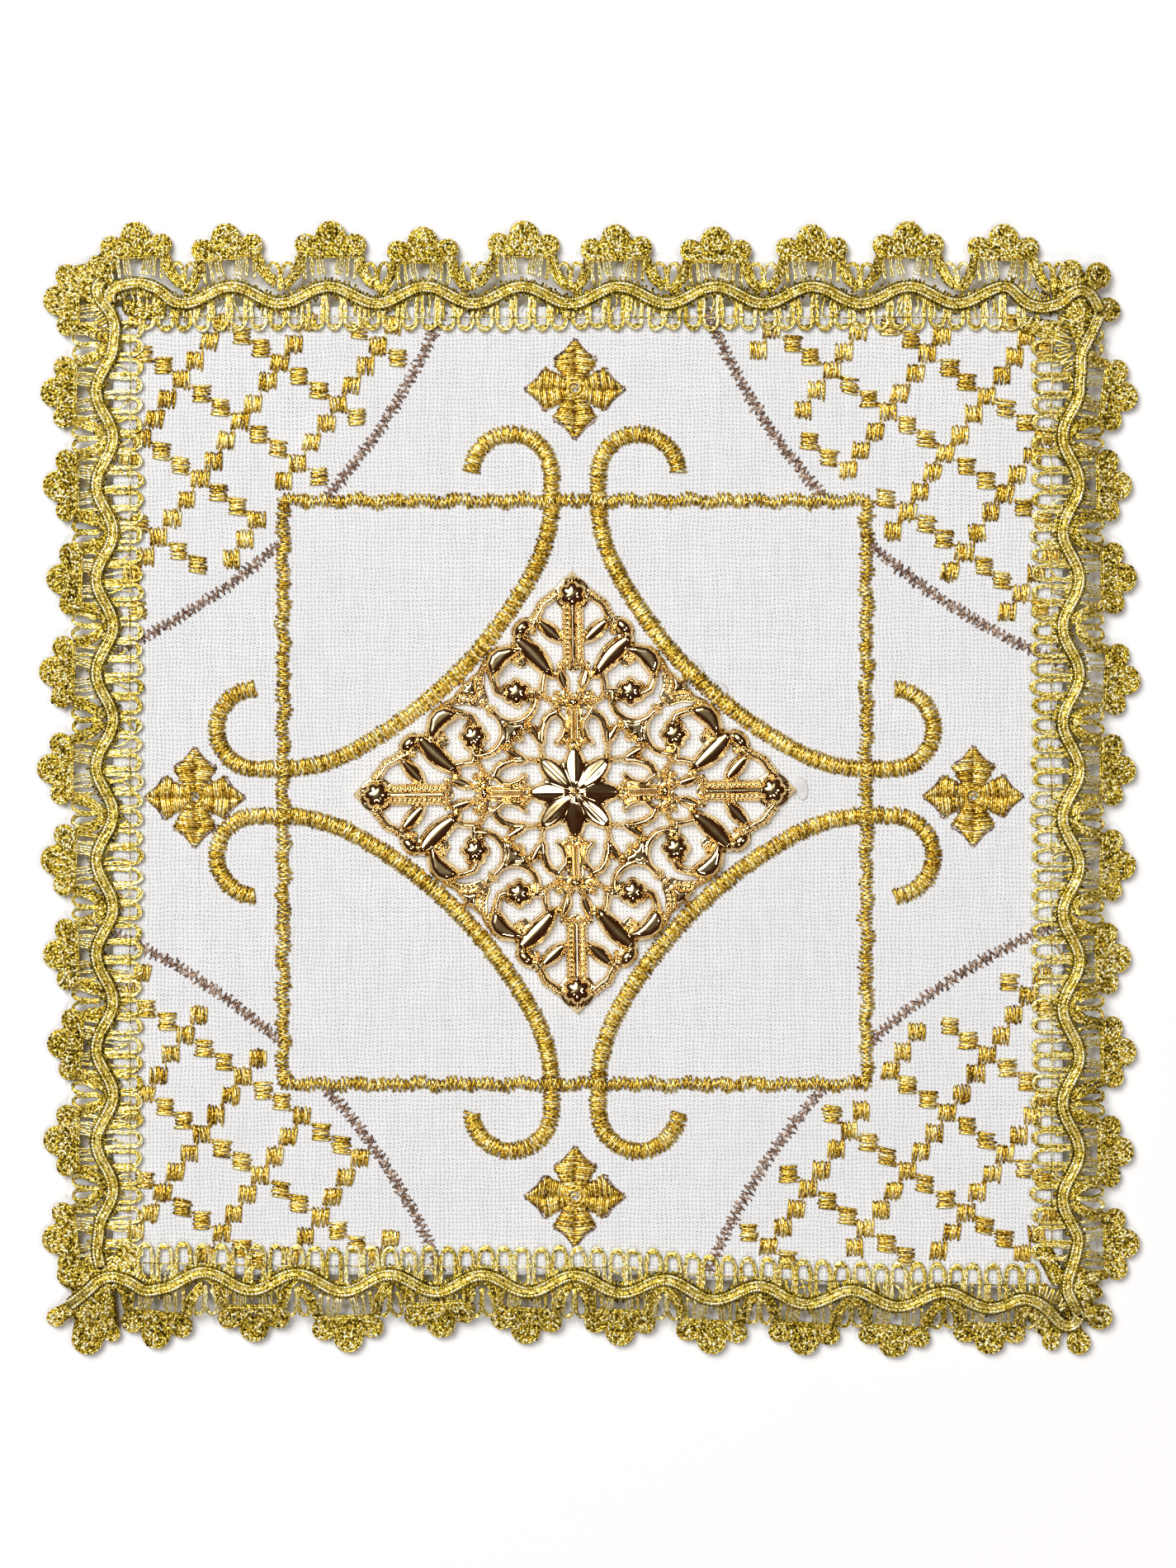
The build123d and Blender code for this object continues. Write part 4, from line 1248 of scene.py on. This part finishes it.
class Filigree:
    """Stamped work given by its parts: each has a distance to its edge and a height over the flat rim."""

    def __init__(self, x, y):
        self.x, self.y = x, y
        self.edge = np.full(x.shape, 9.0)
        self.rise = np.zeros(x.shape)

    def take(self, edge, rise):
        self.edge = np.minimum(self.edge, edge)
        self.rise = np.maximum(self.rise, np.where(edge < 0, rise, 0))

    def chain_gap(self, points):
        """How far the ground is from a line through a few points."""
        gaps = [segment_gap(self.x, self.y, start, end) for start, end in zip(points[:-1], points[1:])]
        return np.min(gaps, axis=0)

    def bar(self, points, half, rise):
        """A half-round bar along a few points."""
        gap = self.chain_gap(points)
        self.take(gap - half, rise * round_top(gap / half))

    def bead(self, x, y, radius, rise=None):
        gap = np.hypot(self.x - x, self.y - y)
        tall = radius * 1.35 if rise is None else rise
        self.take(gap - radius, tall * round_top(gap / radius))

    def beads(self, start, end, count, radius):
        for u in np.arange(count) / (count - 1):
            self.bead(start[0] + (end[0] - start[0]) * u, start[1] + (end[1] - start[1]) * u, radius)

    def dome(self, x, y, long, wide, angle, rise):
        """An oval dome."""
        c, s = math.cos(math.radians(angle)), math.sin(math.radians(angle))
        u = (self.x - x) * c + (self.y - y) * s
        v = -(self.x - x) * s + (self.y - y) * c
        q = np.hypot(u / long, v / wide)
        self.take((q - 1) * min(long, wide), rise * round_top(q))

    def leaf(self, start, end, width, rise, bow=0.0, fat=0.75, crease=True, belly=0.5):
        """A pointed leaf, creased along its middle or domed. Bow bends it to its left."""
        length = math.dist(start, end)
        ux, uy = (end[0] - start[0]) / length, (end[1] - start[1]) / length
        u = ((self.x - start[0]) * ux + (self.y - start[1]) * uy) / length
        v = -(self.x - start[0]) * uy + (self.y - start[1]) * ux
        swell = np.sin(math.pi * np.clip(u, 0, 1) ** (math.log(0.5) / math.log(belly)))
        half = width / 2 * swell ** fat + 1e-6
        off = np.abs(v - bow * np.sin(math.pi * np.clip(u, 0, 1)))
        end_gap = np.maximum(-u, u - 1) * length
        q = off / half
        edge = np.where(end_gap > 0, np.hypot(off, end_gap), (off - half) * 0.9)
        if crease:
            profile = np.sqrt(np.clip(1 - q ** 4, 0, 1)) * 0.8 - 0.2 * q * q + 0.12 * np.exp(-(q / 0.14) ** 2)
        else:
            profile = np.sqrt(np.clip(1 - q ** 2.2, 0, 1))
        self.take(edge, rise * profile * np.clip(swell * 2.2, 0, 1) ** 0.5)

    def plate(self, points, half):
        """A flat part of the sheet."""
        self.bar(points, half, 0.0)

    def flower(self, x, y, radius):
        """A dome whose edge is scalloped into six petals, one of them pointing north."""
        gap = np.hypot(self.x - x, self.y - y)
        lobe = np.abs(np.cos(3 * (np.arctan2(self.y - y, self.x - x) - math.radians(90))))
        reach = radius * (0.72 + 0.28 * np.sqrt(lobe))
        q = np.clip(gap / reach, 0, 1)
        self.take((gap - reach) * 0.85, np.sqrt(1 - q ** 2.2))

    def cushion(self, corners, width, rise, rounding):
        """A smooth raised form over a polygon, rising over that width from its edge."""
        inside = np.zeros(self.x.shape, bool)
        around = corners + corners[:1]
        for (ax, ay), (bx, by) in zip(corners, around[1:]):
            if ay != by:
                crossing = (bx - ax) * (self.y - ay) / (by - ay) + ax
                inside ^= ((ay > self.y) != (by > self.y)) & (self.x < crossing)
        gap = self.chain_gap(around)
        edge = np.where(inside, -gap, gap) - rounding
        depth = np.clip(-edge / width, 0, 1)
        self.take(edge, rise * np.sqrt(1 - (1 - depth) ** 2))

    def ring(self, x, y, radius, half, start, finish, rise):
        """A half-round bar bent along an arc."""
        gap = np.abs(np.hypot(self.x - x, self.y - y) - radius)
        angle = np.degrees(np.arctan2(self.y - y, self.x - x))
        off = (angle - (start + finish) / 2 + 180) % 360 - 180
        gap = np.where(np.abs(off) > abs(finish - start) / 2, 9.0, gap)
        self.take(gap - half, rise * round_top(gap / half))


def filigree(x, y):
    """The stamped sheet, drawn in one eighth left of the north arm, onto which the ground is folded."""
    ax, ay = np.abs(x), np.abs(y)
    f = Filigree(-np.minimum(ax, ay), np.maximum(ax, ay))
    # rosette
    f.leaf((0, 0.3), (0, 7.6), 3.3, 1.0, fat=0.75, belly=0.55)
    f.leaf((-0.3, 0.3), (-5.5, 5.7), 3.2, 1.0, fat=0.75, belly=0.55)
    f.plate([(0, 0), (-1.55, 3.6)], 1.5)
    slope = np.clip(1 - np.hypot(f.x, f.y) / 8.2, 0, 1)
    f.rise = np.where(f.edge < 0, f.rise * 0.4 + 0.85 * slope * np.clip(-f.edge / 0.3, 0, 1) ** 0.5, f.rise)
    f.bead(0, 0, 0.8, 1.4)
    # chain and fish-tail link
    f.beads((-5.2, 6.2), (-5.4, 7.5), 3, 0.38)
    f.bar([(-2.9, 12.8), (-4.0, 12.3), (-4.7, 11.3), (-5.15, 9.7), (-5.2, 8.2)], 0.6, 0.75)
    f.leaf((-5.2, 7.7), (-7.2, 11.2), 1.35, 0.65, fat=0.5, crease=False)
    # cartouche
    f.bar([(-3.0, 13.7), (-2.4, 12.3), (-1.6, 11.4), (-1.5, 10.2), (-1.9, 8.9), (-2.7, 8.0)], 0.42, 0.75)
    f.bar([(-0.48, 13.3), (-0.48, 8.5)], 0.42, 0.75)
    f.plate([(0, 8.3), (0, 13.5)], 1.1)
    f.bead(-1.1, 7.7, 0.5)
    f.bead(-1.05, 15.5, 0.6, 0.7)
    f.bead(-2.3, 14.6, 0.6, 0.7)
    f.bead(-2.75, 15.75, 0.45)
    f.dome(0, 14.4, 1.25, 0.85, 0, 0.85)
    f.plate([(-2.3, 14.6), (0, 14.6)], 1.0)
    f.plate([(-2.4, 15.2), (-1.0, 15.8)], 0.5)
    # V leaves and the stem's foot
    f.leaf((-1.1, 16.1), (-2.3, 20.0), 1.6, 0.65, crease=False)
    f.beads((-0.6, 20.4), (-1.7, 20.4), 2, 0.5)
    f.plate([(-2.0, 20.3), (0, 20.5)], 0.5)
    # stem with its ridge and its columns of beads
    f.bar([(0, 21.0), (0, 29.3)], 0.66, 0.8)
    f.plate([(0, 20.6), (0, 29.5)], 1.1)
    f.beads((-1.25, 21.4), (-1.25, 29.2), 11, 0.33)
    # tip
    f.flower(0, 31.5, 2.35)
    f.plate([(0, 31.5), (0, 31.6)], 2.6)
    f.leaf((0, 32.2), (0, 35.1), 2.6, 0.3, fat=0.9, belly=0.35, crease=False)
    f.bead(0, 34.2, 0.55, 0.7)
    # two outer rows of beads and the leaves inside them
    outer = [(-2.9, 32.0), (-3.5, 31.5), (-4.1, 31.0), (-4.8, 30.6), (-5.35, 30.0), (-5.6, 29.3),
             (-6.0, 28.6), (-6.5, 27.9), (-6.7, 27.2)]
    for bx, by in outer:
        f.bead(bx, by, 0.34)
    f.bar([(bx + 0.42, by - 0.42) for bx, by in outer], 0.34, 0.4)
    f.dome(-8.1, 26.3, 1.75, 1.15, 45, 0.8)
    f.leaf((-5.9, 27.8), (-1.5, 23.8), 2.3, 0.75, crease=False)
    f.plate([(-6.4, 27.5), (-5.2, 27.3)], 0.25)
    f.plate([(-7.0, 26.0), (-8.9, 24.2)], 0.55)
    f.bead(-6.4, 26.4, 0.34)
    f.bead(-6.3, 25.6, 0.3)
    # two great leaves over the ring
    f.cushion([(-13.6, 19.2), (-13.95, 20.6), (-13.4, 22.1), (-12.1, 23.1), (-10.0, 23.5), (-7.7, 22.9),
               (-8.9, 22.1), (-10.3, 21.1), (-11.3, 20.0), (-12.0, 19.0), (-12.8, 18.5)], 1.2, 1.05, 0.15)
    f.leaf((-9.5, 25.0), (-3.1, 18.2), 3.2, 0.85, bow=0.35, fat=0.6, crease=False, belly=0.45)
    f.plate([(-9.0, 21.6), (-8.4, 20.9)], 0.75)
    for bx, by in ((-9.0, 21.5), (-9.5, 21.0), (-8.5, 21.2), (-8.9, 20.7)):
        f.bead(bx, by, 0.3)
    # flower in its ring
    f.flower(-9.1, 16.0, 2.25)
    f.bar([(-12.9, 18.6), (-12.5, 17.2), (-12.1, 16.2), (-11.2, 15.8)], 0.55, 0.7)
    f.bead(-12.7, 18.3, 0.5, 0.8)
    f.bar([(-6.9, 16.1), (-5.0, 16.1)], 0.5, 0.6)
    f.bar([(-4.6, 18.9), (-4.9, 17.6), (-5.0, 16.1)], 0.5, 0.65)
    f.beads((-5.3, 15.7), (-3.3, 14.4), 4, 0.4)
    f.ring(-9.8, 14.95, 3.7, 0.52, -150, 18, 0.7)
    f.bar([(-6.3, 16.1), (-6.15, 14.4)], 0.45, 0.55)
    # four-bead crosses, bead chain and the plain crescent outside them
    for bx, by in ((-12.8, 13.5), (-12.7, 12.7), (-13.5, 13.5)):
        f.bead(bx, by, 0.36)
    f.plate([(-12.4, 12.6), (-13.8, 13.9)], 0.35)
    f.beads((-14.0, 20.9), (-15.1, 18.7), 5, 0.34)
    f.plate([(-14.9, 18.7), (-15.0, 17.3), (-14.8, 16.2), (-14.4, 15.1)], 0.55)
    f.beads((-14.95, 18.1), (-14.7, 16.0), 4, 0.26)
    # outer thistle
    f.bead(-15.5, 15.5, 0.45, 0.95)
    f.bead(-14.4, 14.5, 0.36)
    f.plate([(-14.0, 14.0), (-15.6, 15.6)], 0.35)
    f.cushion([(-15.3, 15.3), (-15.75, 16.9), (-15.8, 18.6), (-16.9, 17.5), (-17.9, 17.9), (-17.5, 16.9),
               (-18.6, 15.8), (-16.9, 15.75)], 0.9, 0.95, 0.2)
    # inner thistle
    f.bead(-10.9, 10.9, 0.48, 1.1)
    f.cushion([(-11.8, 11.8), (-9.6, 11.2), (-7.6, 11.4), (-8.0, 10.1), (-9.0, 9.7), (-8.7, 8.7), (-9.7, 9.0),
               (-10.1, 8.0), (-11.4, 7.6), (-11.2, 9.6)], 0.85, 0.8, 0.18)
    f.dome(-8.1, 10.2, 0.75, 0.5, 60, 0.9)
    f.dome(-8.75, 8.75, 0.6, 0.6, 0, 0.95)
    return f


# The flat rim round every form, the sheet's height, how much its forms are raised and its turn in degrees
rim_width = 0.22
sheet_rise = 0.22
relief_scale = 1.7
medallion_turn = 0.7
medallion_reach = 35.6


def medallion_edge(x, y):
    return filigree(x, y).edge - rim_width


def medallion_height(x, y, away):
    rolled = np.clip(-away / 0.16, 0, 1)
    sheet = medallion_low + sheet_rise + 0.2 * np.sqrt(1 - (1 - rolled) ** 2)
    return sheet + filigree(x, y).rise * relief_scale


def medallion():
    """The stamped gilt sheet, on a fine grid."""
    corner = np.full(2, medallion_reach)
    part = relief_shell(medallion_edge, medallion_height, -corner, corner, 0.14, medallion_low)
    place = turned(part, medallion_turn, (*embroidery_centre, 0))
    piece("stamped_filigree", [place], gilt_filigree, "filigree_medallion")


medallion()


def glue():
    """Dabs of glue under the medallion and a thin smear beside it."""
    parts = []

    def blob(cx, cy, long, wide, angle, height, seed):
        c, s = math.cos(math.radians(angle)), math.sin(math.radians(angle))

        def edge(x, y):
            u = (x - cx) * c + (y - cy) * s
            v = -(x - cx) * s + (y - cy) * c
            return (np.hypot(u / long, v / wide) - 1) * wide + 0.3 * wide * ripple(x, y, wide * 2.2, seed)

        def top(x, y, away):
            return face_top + 0.01 + height * np.sqrt(np.clip(-away / 0.8, 0, 1))

        reach = max(long, wide) * 1.6
        lower, upper = (cx - reach, cy - reach), (cx + reach, cy + reach)
        return relief_shell(edge, top, lower, upper, 0.3, face_top - 0.03)

    parts.append(blob(0, 0, 2.8, 2.8, 0, 0.12, 1))
    for k, (sx, sy) in enumerate(corner_signs.values()):
        parts.append(blob(sx * 15.6, sy * 15.6, 1.2, 1.2, 0, 0.12, 10 + k))
    parts.append(blob(21.5, 17.0, 6.0, 1.6, -45, 0.03, 31))
    parts.append(blob(36.2, 0.8, 1.0, 2.2, 10, 0.03, 32))
    placed = [turned(part, 0, (*embroidery_centre, 0)) for part in parts]
    piece("glue_dabs", placed, glue_film, "medallion_glue")


glue()


# ---------------------------------------------------------------- room, light and camera

def stage():
    """A plain pale floor."""
    mesh = bpy.data.meshes.new("floor")
    reach = 5.0
    corners = [(sx * reach, sy * reach, 0) for sx, sy in ((-1, -1), (1, -1), (1, 1), (-1, 1))]
    mesh.from_pydata(corners, [], [(0, 1, 2, 3)])
    m = Nodes("floor")
    m.set(Base_Color=(0.97, 0.97, 0.97, 1), Roughness=0.9, Specular_IOR_Level=0.0)
    mesh.materials.append(m.material)
    floor = bpy.data.objects.new("floor", mesh)
    bpy.context.scene.collection.objects.link(floor)
    floor.location.z = -0.0002


def area_light(name, place, size, power):
    """A soft square light aimed at the pall."""
    data = bpy.data.lights.new(name, "AREA")
    data.size = size
    data.energy = power
    lamp = bpy.data.objects.new(name, data)
    bpy.context.scene.collection.objects.link(lamp)
    lamp.location = place
    lamp.rotation_euler = (-Vector(place)).to_track_quat("-Z", "Y").to_euler()


def world():
    """A room that is dark and warm but for a small bright patch high up, above the pall's upper left."""
    room = bpy.data.worlds.new("room")
    room.use_nodes = True
    tree = room.node_tree
    back = tree.nodes["Background"]
    coord = tree.nodes.new("ShaderNodeTexCoord")
    dot = tree.nodes.new("ShaderNodeVectorMath")
    dot.operation = "DOT_PRODUCT"
    dot.inputs[1].default_value = Vector((-0.33, 0.35, 0.875)).normalized()
    tree.links.new(coord.outputs["Generated"], dot.inputs[0])
    ramp = tree.nodes.new("ShaderNodeValToRGB")
    set_ramp(ramp, [
        (0.0, (0.022, 0.008, 0.005)), (0.70, (0.025, 0.011, 0.007)), (0.82, (0.04, 0.03, 0.025)),
        (0.88, (0.09, 0.08, 0.07)), (0.925, (0.36, 0.36, 0.36)), (0.95, (1.0, 1.0, 1.0)),
    ])
    tree.links.new(dot.outputs["Value"], ramp.inputs["Fac"])
    tree.links.new(ramp.outputs["Color"], back.inputs["Color"])
    back.inputs["Strength"].default_value = 2.0
    bpy.context.scene.world = room


stage()
world()
area_light("key", (-0.6, 0.65, 1.3), size=0.8, power=16)
area_light("fill", (0.8, -0.1, 1.4), size=0.3, power=4.5)
area_light("low_fill", (-0.1, -1.0, 1.3), size=0.3, power=4)

# The camera looks straight down. Its height makes the photograph's frame 0.25 m high
frame_height = 0.25
camera_data = bpy.data.cameras.new("camera")
camera_data.lens = 100
camera_data.sensor_width = 36
camera_data.clip_start = 0.01
camera = bpy.data.objects.new("camera", camera_data)
bpy.context.scene.collection.objects.link(camera)
camera.location = (0, 0.00105, face_top * MM + frame_height * camera_data.lens / camera_data.sensor_width)
bpy.context.scene.camera = camera
bpy.context.scene.view_settings.view_transform = "Standard"
